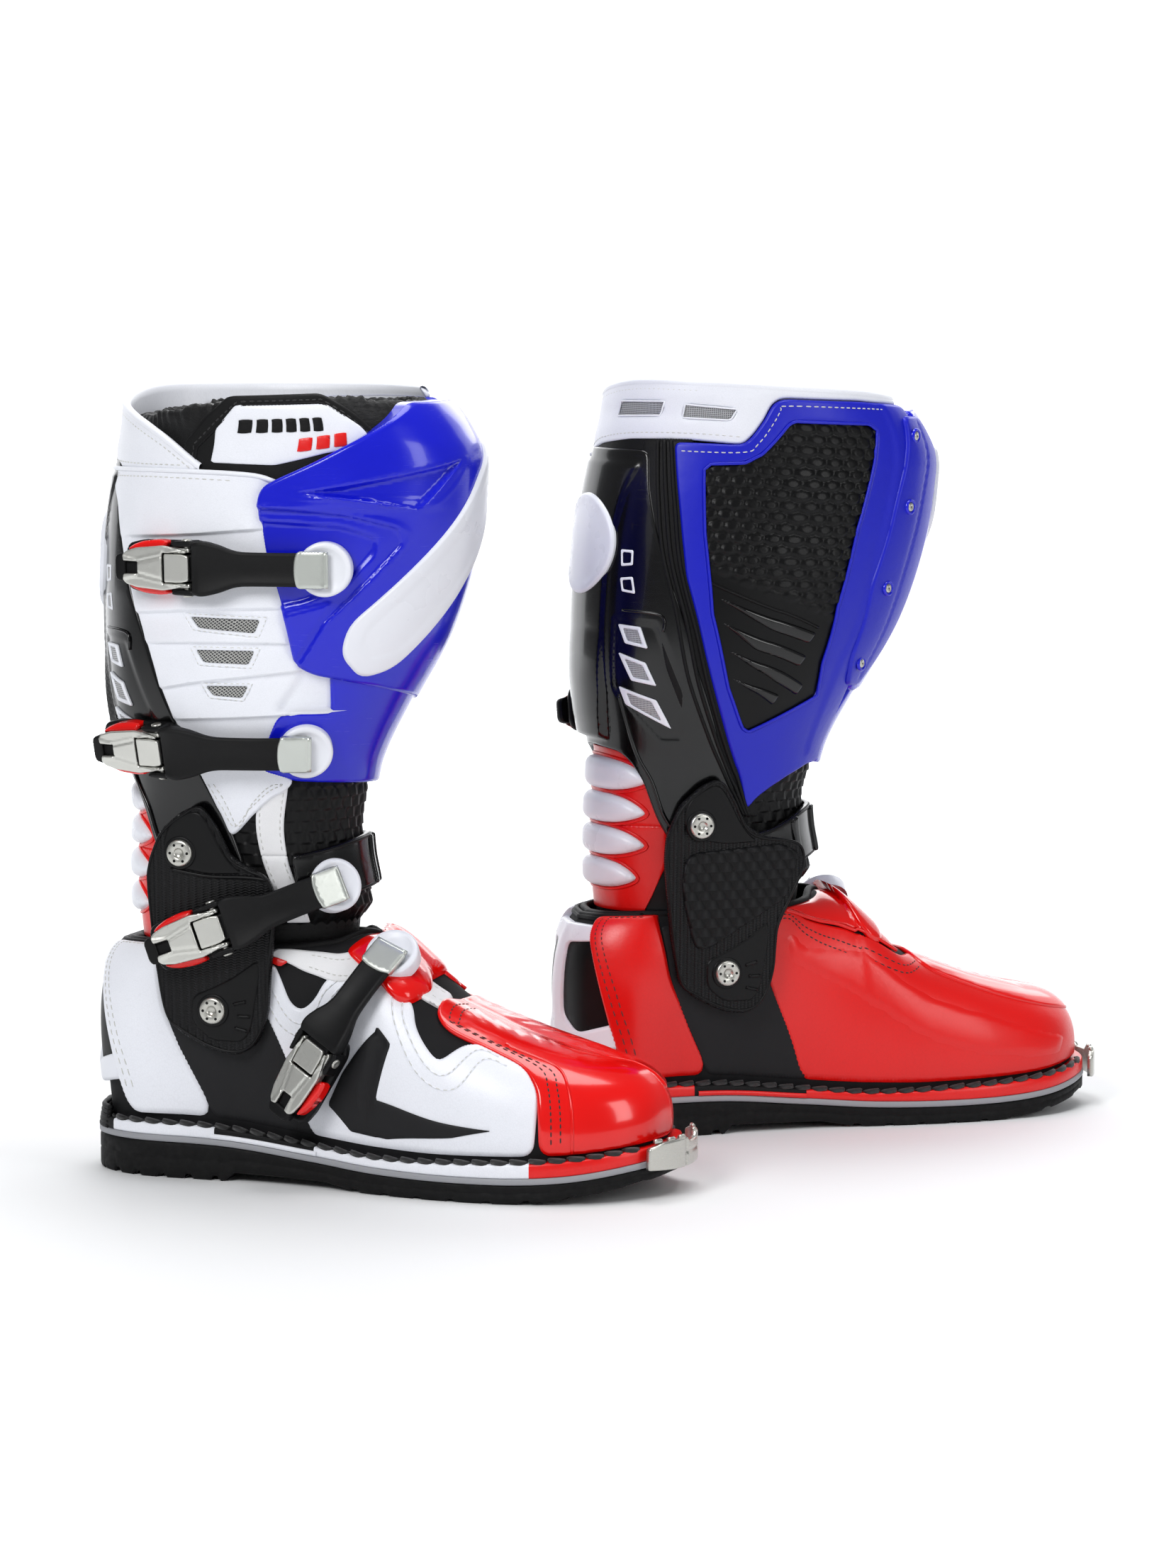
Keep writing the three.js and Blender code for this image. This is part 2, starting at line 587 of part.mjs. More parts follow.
// Moulded guard over the instep that carries the receiver of the foot buckle.
function instepGuard() {
  const stations = range(5, 0.565, 0.635);
  const spans = [[-1, 0.62], [-1, 0.76], [-1, 0.88], [1, 1], [1, 0.88], [1, 0.74], [1, 0.6]];
  const grid = (off) => stations.map((s) => spans.map(([side, v]) => footPoint(side, s, v, off)));
  const hook = framesAlong(FOOT_STRAP_POINTS, FOOT_CORE)(HOOK_SHARE);
  return wall(grid(6.5), grid(0.6)).add(receiver(hook)).subtract(footRoom());
}

// ---------------------------------------------------------------- one boot
const material = (color, roughness, metalness = 0) =>
  new THREE.MeshStandardMaterial({ color, roughness, metalness });

const LOOKS = {
  rubber: material(0x151515, 0.8),
  welt: material(0xe8eaee, 0.5),
  black: material(0x1b1b1d, 0.55),
  white: material(0xeef0f6, 0.4),
  blue: material(0x1f2fbf, 0.35),
  red: material(0xe0190f, 0.3),
  steel: material(0xc9c9c4, 0.3, 0.9),
  strap: material(0x242424, 0.6),
  padding: material(0x161618, 0.85),
};

function bootParts() {
  return [
    ["outsole", outsole(), LOOKS.rubber],
    ["midsole", midsole(), LOOKS.welt],
    ["toe_guard", toeGuard(), LOOKS.steel],
    ["foot_upper", footUpper(), LOOKS.white],
    ["heel_cup", heelCup(), LOOKS.white],
    ["instep_guard", instepGuard(), LOOKS.red],
    ["lateral_ankle_plate", anklePlate(-1), LOOKS.black],
    ["medial_ankle_plate", anklePlate(1).add(ankleBand()), LOOKS.black],
    ["lateral_lower_bolt", bolt(-1, LOWER_PIVOT, 39), LOOKS.steel],
    ["medial_lower_bolt", bolt(1, LOWER_PIVOT, 39), LOOKS.steel],
    ["lateral_upper_bolt", bolt(-1, UPPER_PIVOT, 40.5), LOOKS.steel],
    ["medial_upper_bolt", bolt(1, UPPER_PIVOT, 40.5), LOOKS.steel],
    ["ankle_gaiter", ankleGaiter(), LOOKS.padding],
    ["shaft_shell", shaftShell(), LOOKS.black],
    ["shin_plate", shinPlate(), LOOKS.blue],
    ["lateral_panel", lateralPanel(), LOOKS.white],
    ["medial_panel", medialPanel(), LOOKS.blue],
    ["liner", liner(), LOOKS.padding],
    ...buckle("top", shaftStrapPoints(TOP_STRAP), TOP_STRAP.core, 0.31, LOOKS),
    ...buckle("calf", shaftStrapPoints(CALF_STRAP), CALF_STRAP.core, 0.3, LOOKS),
    ...buckle("ankle", ANKLE_STRAP_POINTS, ANKLE_CORE, 0.33, LOOKS),
    ...buckle("foot", FOOT_STRAP_POINTS, FOOT_CORE, 0.35, LOOKS),
  ];
}

function meshOf(name, solid, look) {
  const made = solid.getMesh();
  const geometry = new THREE.BufferGeometry();
  geometry.setAttribute("position", new THREE.BufferAttribute(new Float32Array(made.vertProperties), 3));
  geometry.setIndex(new THREE.BufferAttribute(new Uint32Array(made.triVerts), 1));
  geometry.computeVertexNormals();
  const mesh = new THREE.Mesh(geometry, look);
  mesh.name = name;
  return mesh;
}

// Pieces that flex with the shaft about the upper bolts.
const ON_SHAFT = /^(shaft_shell|shin_plate|lateral_panel|medial_panel|liner|top_|calf_)/;

function boot(side, { x, y, yaw, lean }, parts) {
  const group = new THREE.Group();
  group.name = side + "_boot";
  for (const [name, solid, look] of parts) {
    const flexed = solid
      .translate(-UPPER_PIVOT.x, 0, -UPPER_PIVOT.z)
      .rotate([0, lean, 0])
      .translate(UPPER_PIVOT.x, 0, UPPER_PIVOT.z);
    group.add(meshOf(side + "_" + name, ON_SHAFT.test(name) ? flexed : solid, look));
  }
  if (side === "left") group.scale.y = -1;
  group.rotation.z = radians(yaw);
  group.position.set(x, y, 0);
  return group;
}

// ---------------------------------------------------------------- the pair
const parts = bootParts();
const pair = new THREE.Group();
pair.name = "riding_boots";
pair.add(boot("right", RIGHT_STANCE, parts));
pair.add(boot("left", LEFT_STANCE, parts));

// The origin is the middle of the pair's footprint, on the floor.
const extent = new THREE.Box3().setFromObject(pair, true);
const middle = extent.getCenter(new THREE.Vector3());
pair.position.set(-middle.x, -middle.y, -extent.min.z);

export default pair;
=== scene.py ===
import math

import bpy
import numpy as np
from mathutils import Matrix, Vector
from mathutils.geometry import delaunay_2d_cdt


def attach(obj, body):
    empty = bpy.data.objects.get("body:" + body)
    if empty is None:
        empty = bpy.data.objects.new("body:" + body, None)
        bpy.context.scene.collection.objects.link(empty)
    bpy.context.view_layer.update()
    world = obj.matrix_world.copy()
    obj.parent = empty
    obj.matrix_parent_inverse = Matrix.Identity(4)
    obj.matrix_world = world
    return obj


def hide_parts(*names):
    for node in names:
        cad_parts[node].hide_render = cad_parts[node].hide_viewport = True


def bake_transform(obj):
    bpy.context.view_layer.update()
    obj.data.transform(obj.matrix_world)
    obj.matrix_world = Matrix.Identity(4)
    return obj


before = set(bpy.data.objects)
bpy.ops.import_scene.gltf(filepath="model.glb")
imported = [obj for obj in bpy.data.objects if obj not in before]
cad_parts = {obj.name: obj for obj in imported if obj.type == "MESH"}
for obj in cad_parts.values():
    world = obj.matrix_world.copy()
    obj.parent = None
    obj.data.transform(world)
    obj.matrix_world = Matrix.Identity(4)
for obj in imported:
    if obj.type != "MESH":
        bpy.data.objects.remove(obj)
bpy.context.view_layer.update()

# ------------------------------------------------------------------ where each boot stands
# Every piece is drawn once in millimetres, in the frame of one boot: +X to the toe, heel at 0,
# sole on z = 0, lateral side at -Y. The left boot is its mirror image.
STANCE = {
    "right": dict(x=-267.585, y=-45.43, yaw=-16.9, lean=0.0, mirror=1.0),
    "left": dict(x=-33.985, y=30.37, yaw=20.6, lean=3.4, mirror=-1.0),
}
UPPER_PIVOT = (65.5, 169.0)     # (x, z) of the bolts
LOWER_PIVOT = (81.5, 89.0)
# bodies that lean with the shaft
SHAFT_BODIES = ("shaft", "top_lever", "top_strap", "calf_lever", "calf_strap")


def to_row(points, side, leaning):
    """Points of one boot, in millimetres, as it stands in the shared frame, in metres."""
    s = STANCE[side]
    p = np.asarray(points, float).reshape(-1, 3).copy()
    if leaning and s["lean"]:
        a = math.radians(s["lean"])
        dx, dz = p[:, 0] - UPPER_PIVOT[0], p[:, 2] - UPPER_PIVOT[1]
        p[:, 0] = UPPER_PIVOT[0] + dx * math.cos(a) + dz * math.sin(a)
        p[:, 2] = UPPER_PIVOT[1] - dx * math.sin(a) + dz * math.cos(a)
    y = p[:, 1] * s["mirror"]
    c, n = math.cos(math.radians(s["yaw"])), math.sin(math.radians(s["yaw"]))
    return np.stack([s["x"] + c * p[:, 0] - n * y, s["y"] + n * p[:, 0] + c * y, p[:, 2]], -1) / 1000


# ------------------------------------------------------------------ small helpers
def ramp(x):
    """x kept between 0 and 1."""
    return np.clip(x, 0, 1)


def unit(v):
    return v / np.maximum(1e-9, np.linalg.norm(v, axis=-1, keepdims=True))


def across(d):
    """Unit normals, on the flat, of the directions d."""
    return unit(np.stack([-d[:, 1], d[:, 0]], -1))


def run(line):
    """Length along a line at each of its points."""
    return np.r_[0, np.cumsum(np.linalg.norm(np.diff(line, axis=0), axis=1))]


def arrays(*values):
    """The values as float arrays of one shape."""
    return np.broadcast_arrays(*(np.asarray(v, float) for v in values))


def mirrored(points, s):
    """The outline, or for s = -1 its copy on the other side."""
    return [(s * a, b) for a, b in points]


def both(points):
    """An outline given on its upper side, closed by its mirror image below."""
    return list(points) + [(a, -b) for a, b in points[::-1]]


def circle(x, y, radius, n):
    turns = np.linspace(0, 2 * math.pi, n, endpoint=False)
    return [(x + radius * math.cos(w), y + radius * math.sin(w)) for w in turns]


def grown(poly, *share):
    """The outline grown about its middle, by one share or by one for each coordinate."""
    mid = np.mean(poly, 0)
    return [tuple(mid + (np.array(q) - mid) * share) for q in poly]


# ------------------------------------------------------------------ forms, as in the CAD
def smooth(knots):
    """Value through [t, value] knots with Catmull-Rom slopes, as the CAD forms use."""
    t = np.array([k[0] for k in knots], float)
    v = np.array([k[1] for k in knots], float)
    n = len(t)
    lo = np.maximum(np.arange(n) - 1, 0)
    hi = np.minimum(np.arange(n) + 1, n - 1)
    slope = (v[hi] - v[lo]) / (t[hi] - t[lo])

    def at(x):
        x = np.clip(np.asarray(x, float), t[0], t[-1])
        i = np.clip(np.searchsorted(t, x, side="left") - 1, 0, n - 2)
        w = t[i + 1] - t[i]
        s = (x - t[i]) / w
        h = s * s * (3 - 2 * s)
        return v[i] + (v[i + 1] - v[i]) * h + s * (1 - s) * w * (slope[i] * (1 - s) - slope[i + 1] * s)

    return at


def evenly(values):
    """The same, with the knots evenly spaced from 0 to 1."""
    return smooth([[i / (len(values) - 1), v] for i, v in enumerate(values)])


shaft_back = smooth([[100, 30], [135, 26], [168, 26], [190, 27], [206, 25.5], [250, 15.5], [295, 13.5], [340, 16],
                     [385, 24]])
shaft_front = smooth([[100, 141], [130, 147], [150, 145], [165, 142], [180, 141], [195, 143], [215, 147], [240, 159],
                      [282, 182], [326, 195], [362, 198.5], [373, 197], [382, 192.6], [390, 187.4], [402, 177]])
shaft_half = smooth([[100, 38], [135, 39.5], [168, 41], [190, 43.5], [205, 46.5], [245, 56], [290, 61], [335, 62],
                     [385, 60]])
POWER = 2.25            # roundness of the shaft: 2 is an ellipse, more is squarer


def shaft(angle, z, off=0.0):
    """Point of the shaft: angle 0 back, 90 lateral, 180 front, 270 medial."""
    angle, z, off = arrays(np.radians(angle), z, off)
    a = (shaft_front(z) - shaft_back(z)) / 2
    b = shaft_half(z)
    c, s = np.cos(angle), np.sin(angle)
    c = np.sign(c) * np.abs(c) ** (2 / POWER)
    s = np.sign(s) * np.abs(s) ** (2 / POWER)
    ox = np.sign(c) * np.abs(c) ** (POWER - 1) / a
    oy = np.sign(s) * np.abs(s) ** (POWER - 1) / b
    n = np.hypot(ox, oy)
    return np.stack([shaft_back(z) + a - a * c - off * ox / n, -b * s - off * oy / n, z], -1)


base_x = evenly([8, 15, 38, 76, 110, 140, 170, 205, 243, 276, 299, 306.5])
base_lateral = evenly([0, 21, 34, 36, 37.5, 41.5, 48, 53, 52.5, 43.5, 23.5, 0])
base_medial = evenly([0, 21, 33.5, 34.5, 34.5, 36.5, 42, 47.5, 49, 43, 24.5, 0])
top_x = evenly([20, 25, 46, 80, 112, 138, 156, 190, 222, 250, 268, 276])
top_y = evenly([0, 20, 33, 38, 36, 24, 0, 0, 0, 0, 0, 0])
top_z = evenly([118, 119, 120, 120, 120, 122, 124, 95, 79.5, 70, 65.5, 63.5])
bulge = evenly([5, 6, 7, 6.5, 5, 3.5, 3, 3, 3, 2, 2, 3])
OPENING = 6 / 11        # station where the open ankle ends
FOOT_POWER = 0.82
END = 1e-3              # share of the stations at each end where the outline turns square
welt_top = smooth([[0, 28], [80, 27.5], [130, 22], [171, 18.5], [229, 20], [270, 22.5], [312, 28]])
outsole_top = smooth([[0, 18.5], [80, 18], [130, 13.5], [171, 10.3], [229, 9.5], [270, 11.5], [316, 18.5]])


def foot(q, v, off=0.0):
    """Point of the foot. q is the station from the heel (0) to the toe (1), below 0 on the lateral side."""
    q, v, off = arrays(q, v, off)
    side = np.where(q < 0, -1.0, 1.0)
    s = ramp(np.abs(q))
    half_of = lambda t: np.where(side < 0, base_lateral(t), base_medial(t))
    up, down = np.minimum(1, s + END), np.maximum(0, s - END)
    ax, ay = base_x(up) - base_x(down), half_of(up) - half_of(down)
    ax, ay = np.where(s < END, 0, ax), np.where(s < END, 1, ay)
    ax, ay = np.where(s > 1 - END, 0, ax), np.where(s > 1 - END, -1, ay)
    n = np.hypot(ax, ay)
    ax, ay = ax / n, ay / n
    out = off + bulge(s) * np.sin(np.pi * v)
    bx, by, bz = base_x(s) - out * ay, half_of(s) + out * ax, welt_top(base_x(s))
    opening = s < OPENING
    ry = np.where(opening, np.maximum(0, top_y(s)), 0)
    lx, ly = top_x(s) - 90, ry
    ln = np.maximum(1e-9, np.hypot(lx, ly))
    reach = np.where(opening, off, 0)
    tx, ty = top_x(s) + reach * lx / ln, ry + reach * ly / ln
    tz = top_z(s) + np.where(opening, 0, off)
    h = 1 - np.maximum(0, np.cos(v * np.pi / 2)) ** FOOT_POWER
    g = np.maximum(0, np.sin(v * np.pi / 2)) ** FOOT_POWER
    return np.stack([bx + (tx - bx) * h, side * (by + (ty - by) * h), bz + (tz - bz) * g], -1)


def plate_out(x, z):
    """Distance of an ankle plate's underside from the middle of the boot."""
    return 46 + 0.034 * (z - 89) - 0.0012 * (x - 76) ** 2


# ------------------------------------------------------------------ charts: flat millimetres onto a form
class Chart:
    """A form with two coordinates. metric turns them into millimetres on the flat."""

    def __init__(self, at, metric):
        self.at, self.metric = at, np.array(metric, float)

    def out(self, a, b, off):
        """Outward direction of the form there."""
        return unit(self.at(a, b, np.asarray(off) + 0.5) - self.at(a, b, np.asarray(off) - 0.5))


def _ridge(a, b, off):
    """The foot by station, with 0 on the ridge and 1 or -1 at the welt."""
    return foot(np.where(b < 0, -1.0, 1.0) * a, 1 - np.abs(b), off)


def _sole(a, b, off):
    """The sole's edge by station, with the height in millimetres."""
    p = foot(a, np.zeros_like(np.asarray(a, float)), off)
    a, b = np.broadcast_arrays(a, np.asarray(b, float))
    return np.stack([p[..., 0], p[..., 1], b], -1)


TOE_CENTRE, TOE_RADIUS = 271.2, 46


def _cap(a, b, off):
    """An upright cylinder round the toe, by degrees and height."""
    a, b, off = arrays(np.radians(a), b, off)
    r = TOE_RADIUS + off
    return np.stack([TOE_CENTRE + r * np.cos(a), r * np.sin(a), b], -1)


def plate_chart(sign):
    def at(a, b, off):
        a, b, off = arrays(a, b, off)
        return np.stack([a, sign * (plate_out(a, b) + off), b], -1)
    return Chart(at, (1, 1))


def frame_chart(f):
    """A flat chart in a frame of at, along, out and across."""
    at, along, out, across = (np.array(f[k]) for k in ("at", "along", "out", "across"))

    def point(a, b, off):
        a, b, off = arrays(a, b, off)
        return at + a[..., None] * along + b[..., None] * across + off[..., None] * out
    return Chart(point, (1, 1))


MM_PER_DEGREE = 1.3             # around the shaft
FOOT_LONG, FOOT_HIGH = 300, 80  # millimetres for stations 0 to 1, and from the welt to the top
SHAFT = Chart(shaft, (MM_PER_DEGREE, 1))
FOOT = Chart(foot, (FOOT_LONG, FOOT_HIGH))
RIDGE = Chart(_ridge, (FOOT_LONG, FOOT_HIGH))
CAP = Chart(_cap, (0.8, 1))
PLATE = {"lateral": plate_chart(-1), "medial": plate_chart(1)}


# ------------------------------------------------------------------ flat outlines
def rounded(poly, radius, steps=5):
    """The outline with each corner eased over up to radius millimetres."""
    p = np.asarray(poly, float)
    if radius <= 0:
        return p
    out = []
    for i in range(len(p)):
        a, b, c = p[i - 1], p[i], p[(i + 1) % len(p)]
        la, lc = np.linalg.norm(a - b), np.linalg.norm(c - b)
        s = b + (a - b) * min(0.48, radius / max(la, 1e-6))
        e = b + (c - b) * min(0.48, radius / max(lc, 1e-6))
        for t in np.linspace(0, 1, steps):
            out.append((1 - t) ** 2 * s + 2 * t * (1 - t) * b + t * t * e)
    return np.array(out)


def spaced(line, step, closed=True):
    """The line resampled to even steps of about that length."""
    p = np.asarray(line, float)
    if closed:
        p = np.vstack([p, p[:1]])
    keep = np.r_[True, np.linalg.norm(np.diff(p, axis=0), axis=1) > 1e-6]
    p = p[keep]
    length = run(p)
    n = max(3, int(round(length[-1] / step)))
    t = np.linspace(0, length[-1], n + 1)
    q = np.stack([np.interp(t, length, p[:, k]) for k in (0, 1)], -1)
    return q[:-1] if closed else q


def curve_through(points, closed=False):
    """Smooth line through the points, for outlines that bend gently."""
    p = np.asarray(points, float)
    n = len(p)
    out = []
    for i in range(n if closed else n - 1):
        p0 = p[(i - 1) % n] if closed or i else p[i]
        p1, p2 = p[i], p[(i + 1) % n]
        p3 = p[(i + 2) % n] if closed or i + 2 < n else p2
        for t in np.linspace(0, 1, 8, endpoint=False):
            out.append(0.5 * (2 * p1 + (p2 - p0) * t + (2 * p0 - 5 * p1 + 4 * p2 - p3) * t * t
                              + (3 * p1 - p0 - 3 * p2 + p3) * t ** 3))
    if not closed:
        out.append(p[-1])
    return np.array(out)


def within(points, poly):
    """Whether each point lies inside the outline."""
    x, y = points[:, 0, None], points[:, 1, None]
    x1, y1 = poly[:, 0], poly[:, 1]
    x2, y2 = np.roll(x1, -1), np.roll(y1, -1)
    dy = np.where(y2 == y1, 1e-12, y2 - y1)
    return (((y1 > y) != (y2 > y)) & (x < (x2 - x1) * (y - y1) / dy + x1)).sum(1) % 2 == 1


def away(points, starts, ends):
    """Distance from each point to the nearest of the segments."""
    best = np.full(len(points), 1e9)
    d = ends - starts
    dd = np.maximum(1e-12, (d * d).sum(1))
    for i in range(0, len(points), 4000):
        v = points[i:i + 4000, None] - starts
        t = ramp((v * d).sum(2) / dd)
        best[i:i + 4000] = np.sqrt(((v - t[..., None] * d) ** 2).sum(2)).min(1)
    return best


def flat_points(chart, a, b):
    """Chart coordinates as a list of points on the flat."""
    return np.stack(np.broadcast_arrays(a * chart.metric[0], b * chart.metric[1]), -1).reshape(-1, 2)


def plateau(chart, poly, width):
    """0 outside an outline given in chart coordinates, rising to 1 over width millimetres inside it."""
    p = spaced(rounded(np.asarray(poly, float) * chart.metric, 2), 2)

    def at(a, b):
        q = flat_points(chart, a, b)
        d = ramp(away(q, p, np.roll(p, -1, 0)) / width) * within(q, p)
        return (d * d * (3 - 2 * d)).reshape(np.shape(a))
    return at


def crease(chart, line, width):
    """1 along an open line, falling to 0 within about width millimetres. Line in chart coordinates."""
    p = np.asarray(line, float) * chart.metric
    p = curve_through(p) if len(line) > 2 else p

    def at(a, b):
        q = flat_points(chart, a, b)
        return np.exp(-(away(q, p[:-1], p[1:]) / width) ** 2).reshape(np.shape(a))
    return at


# ------------------------------------------------------------------ pieces
class Piece:
    """Mesh parts that share one body, drawn once and made for each boot."""

    def __init__(self, name, body, slot, replaces):
        self.name, self.body, self.slot, self.replaces, self.bend = name, body, slot, replaces, None
        self.v, self.f, self.m, self.uv, self.mats, self.count = [], [], [], [], [], 0

    def add(self, v, f, uv, mat):
        v = np.asarray(v, float).reshape(-1, 3)
        if mat not in self.mats:
            self.mats.append(mat)
        self.v.append(v)
        self.f.extend([tuple(int(i) + self.count for i in q) for q in f])
        self.m.extend([self.mats.index(mat)] * len(f))
        self.uv.append(np.asarray(uv, float).reshape(-1, 2) if uv is not None else v[:, [0, 2]])
        self.count += len(v)

    def patch(self, chart, outline, mat, **k):
        self.add(*patch(chart, outline, **k), mat)

    def tube(self, chart, path, mat, **k):
        self.add(*tube(chart, path, **k), mat)

    def stitches(self, chart, path, mat, **k):
        self.add(*stitches(chart, path, **k), mat)

    def turned(self, chart, profile, mat, n, centre=(0, 0)):
        self.add(*lathe(chart, profile, n, centre), None, mat)

    def grid(self, points, mat, uv, flip=False):
        self.add(points, sheet(points, flip=flip), uv, mat)

    def make(self, side):
        v = np.vstack(self.v)
        p = to_row(v, side, self.body in SHAFT_BODIES)
        if self.bend and self.bend[1] == "shaft":
            (_, _, z0), (_, _, z1) = self.bend[2:]
            share = ramp((v[:, 2:] - z0) / (z1 - z0))
            share = share * share * (3 - 2 * share)
            p = p * (1 - share) + to_row(v, side, True) * share
        faces = self.f if STANCE[side]["mirror"] > 0 else [q[::-1] for q in self.f]
        me = bpy.data.meshes.new(f"{side}_{self.name}_look")
        me.from_pydata(p.tolist(), [], faces)
        me.polygons.foreach_set("material_index", self.m)
        me.polygons.foreach_set("use_smooth", [True] * len(faces))
        uv = np.vstack(self.uv)
        layer = me.uv_layers.new(name="UVMap")
        loops = np.zeros(len(me.loops), np.int32)
        me.loops.foreach_get("vertex_index", loops)
        layer.data.foreach_set("uv", uv[loops].astype(np.float32).ravel())
        for m in self.mats:
            me.materials.append(material(m))
        me.validate()
        ob = bpy.data.objects.new(f"{side}_{self.name}_look", me)
        bpy.context.scene.collection.objects.link(ob)
        return ob


def patch(chart, outline, off=1.0, drop=0.2, edge=1.0, res=2.6, holes=(), relief=None, guides=(),
          corner=2.0, closed=False, step=1.6, smooth_line=False):
    """A moulded or cut panel: an outline laid on a form, with a rounded edge and walls down to drop.

    In millimetres, off is its height over the form, edge the radius of its rim, res the spacing of its inner
    points, corner the rounding of the outline and step the spacing along it. relief is added to off, guides are
    lines that get points of their own, and closed adds an underside.
    """
    loops = []
    for line in [outline, *holes]:
        p = np.asarray(line, float) * chart.metric
        p = curve_through(p, closed=True) if smooth_line else rounded(p, corner)
        loops.append(spaced(p, step))
    starts = np.vstack(loops)
    ends = np.vstack([np.roll(p, -1, 0) for p in loops])

    def inside(q):
        ok = within(q, loops[0])
        for h in loops[1:]:
            ok &= ~within(q, h)
        return ok

    extra = []
    for p in loops:
        q = np.roll(p, -1, 0)
        n = across(q - p)
        mid = (p + q) / 2
        for share in (0.14, 0.4, 0.72, 1.0):
            for sign in (1, -1):
                c = mid + n * sign * edge * share
                c = c[inside(c)]
                if len(c):
                    extra.append(c[away(c, starts, ends) > edge * share * 0.93])
    for guide, width in guides:
        line = spaced(rounded(np.asarray(guide, float) * chart.metric, 2), 1.8)
        n = across(np.roll(line, -1, 0) - line)
        for s in (-width, -width / 2, 0, width / 2, width):
            c = line + n * s
            c = c[inside(c)]
            if len(c):
                extra.append(c[away(c, starts, ends) > edge + 0.8])
    lo, hi = loops[0].min(0), loops[0].max(0)
    xs, ys = np.arange(lo[0], hi[0], res), np.arange(lo[1], hi[1], res * 0.866)
    gx, gy = np.meshgrid(xs, ys)
    gx = gx + (np.arange(len(ys)) % 2)[:, None] * res / 2
    cells = np.stack([gx.ravel(), gy.ravel()], -1)
    cells = cells[inside(cells)]
    if len(cells):
        cells = cells[away(cells, starts, ends) > edge + res * 0.35]
        if guides and extra:
            near = np.vstack(extra)
            keep = np.ones(len(cells), bool)
            for i in range(0, len(cells), 2000):
                d2 = ((cells[i:i + 2000, None] - near[None]) ** 2).sum(2).min(1)
                keep[i:i + 2000] = d2 > (res * 0.45) ** 2
            cells = cells[keep]
    pts = np.vstack([starts, *extra, cells]) if extra else np.vstack([starts, cells])
    edges, k = [], 0
    for p in loops:
        edges += [(k + i, k + (i + 1) % len(p)) for i in range(len(p))]
        k += len(p)
    made = delaunay_2d_cdt([Vector(q) for q in pts.tolist()], edges, [], 0, 1e-5)
    flat = np.array([tuple(q) for q in made[0]], float)
    tri = np.array([f for f in made[2] if len(f) == 3], int)
    tri = tri[inside(flat[tri].mean(1))]
    d = ramp(away(flat, starts, ends) / max(edge, 1e-6))
    a, b = flat[:, 0] / chart.metric[0], flat[:, 1] / chart.metric[1]
    base = off(a, b) if callable(off) else np.full(len(flat), float(off))
    height = base - edge * (1 - np.sqrt(np.maximum(0, 1 - (1 - d) ** 2)))
    if relief is not None:
        height = height + relief(a, b)
    v = chart.at(a, b, height)
    low = drop(a, b) if callable(drop) else np.full(len(flat), float(drop))
    out = chart.out(a, b, base)
    n = np.cross(v[tri[:, 1]] - v[tri[:, 0]], v[tri[:, 2]] - v[tri[:, 0]])
    if (n * out[tri[:, 0]]).sum() < 0:
        tri = tri[:, ::-1]
    sides = np.vstack([tri[:, [0, 1]], tri[:, [1, 2]], tri[:, [2, 0]]])
    key = dict.fromkeys(map(tuple, sides.tolist()))
    border = [(i, j) for i, j in key if (j, i) not in key]
    n0 = len(v)
    if closed:
        under = chart.at(a, b, low)
        faces = tri.tolist() + (tri[:, ::-1] + n0).tolist() + [(j, i, i + n0, j + n0) for i, j in border]
        return np.vstack([v, under]), faces, np.vstack([flat, flat])
    ring = sorted({i for e in border for i in e})
    wall_foot = chart.at(a[ring], b[ring], low[ring])
    up = {i: n0 + k for k, i in enumerate(ring)}
    down = {i: n0 + len(ring) + k for k, i in enumerate(ring)}
    faces = tri.tolist() + [(up[j], up[i], down[i], down[j]) for i, j in border]
    return np.vstack([v, v[ring], wall_foot]), faces, np.vstack([flat, flat[ring], flat[ring]])


def tube(chart, path, off=0.0, r=1.0, closed=False, n=8, step=2.0, smooth_line=True):
    """A cord or moulded rim along a line on a form."""
    p = np.asarray(path, float) * chart.metric
    if smooth_line:
        p = curve_through(p, closed=closed)
    p = spaced(p, step, closed)
    a, b = p[:, 0] / chart.metric[0], p[:, 1] / chart.metric[1]
    o = off(a, b) if callable(off) else off
    at, out = chart.at(a, b, o), chart.out(a, b, o)
    along = unit((np.roll(at, -1, 0) - np.roll(at, 1, 0)) if closed else np.gradient(at, axis=0))
    side = unit(np.cross(along, out))
    out = np.cross(side, along)
    t = np.linspace(0, 2 * np.pi, n, endpoint=False)
    ring = r * np.cos(t)[None, :, None] * side[:, None] + r * np.sin(t)[None, :, None] * out[:, None] + at[:, None]
    k = len(at)
    faces = []
    for i in range(k if closed else k - 1):
        j = (i + 1) % k
        faces += [(i * n + q, i * n + (q + 1) % n, j * n + (q + 1) % n, j * n + q) for q in range(n)]
    if not closed:
        faces += [tuple(range(n))[::-1], tuple((k - 1) * n + q for q in range(n))]
    uv = np.stack([np.repeat(run(at), n), np.tile(np.arange(n) * 2 * np.pi * r / n, k)], -1)
    return ring.reshape(-1, 3), [f[::-1] for f in faces], uv


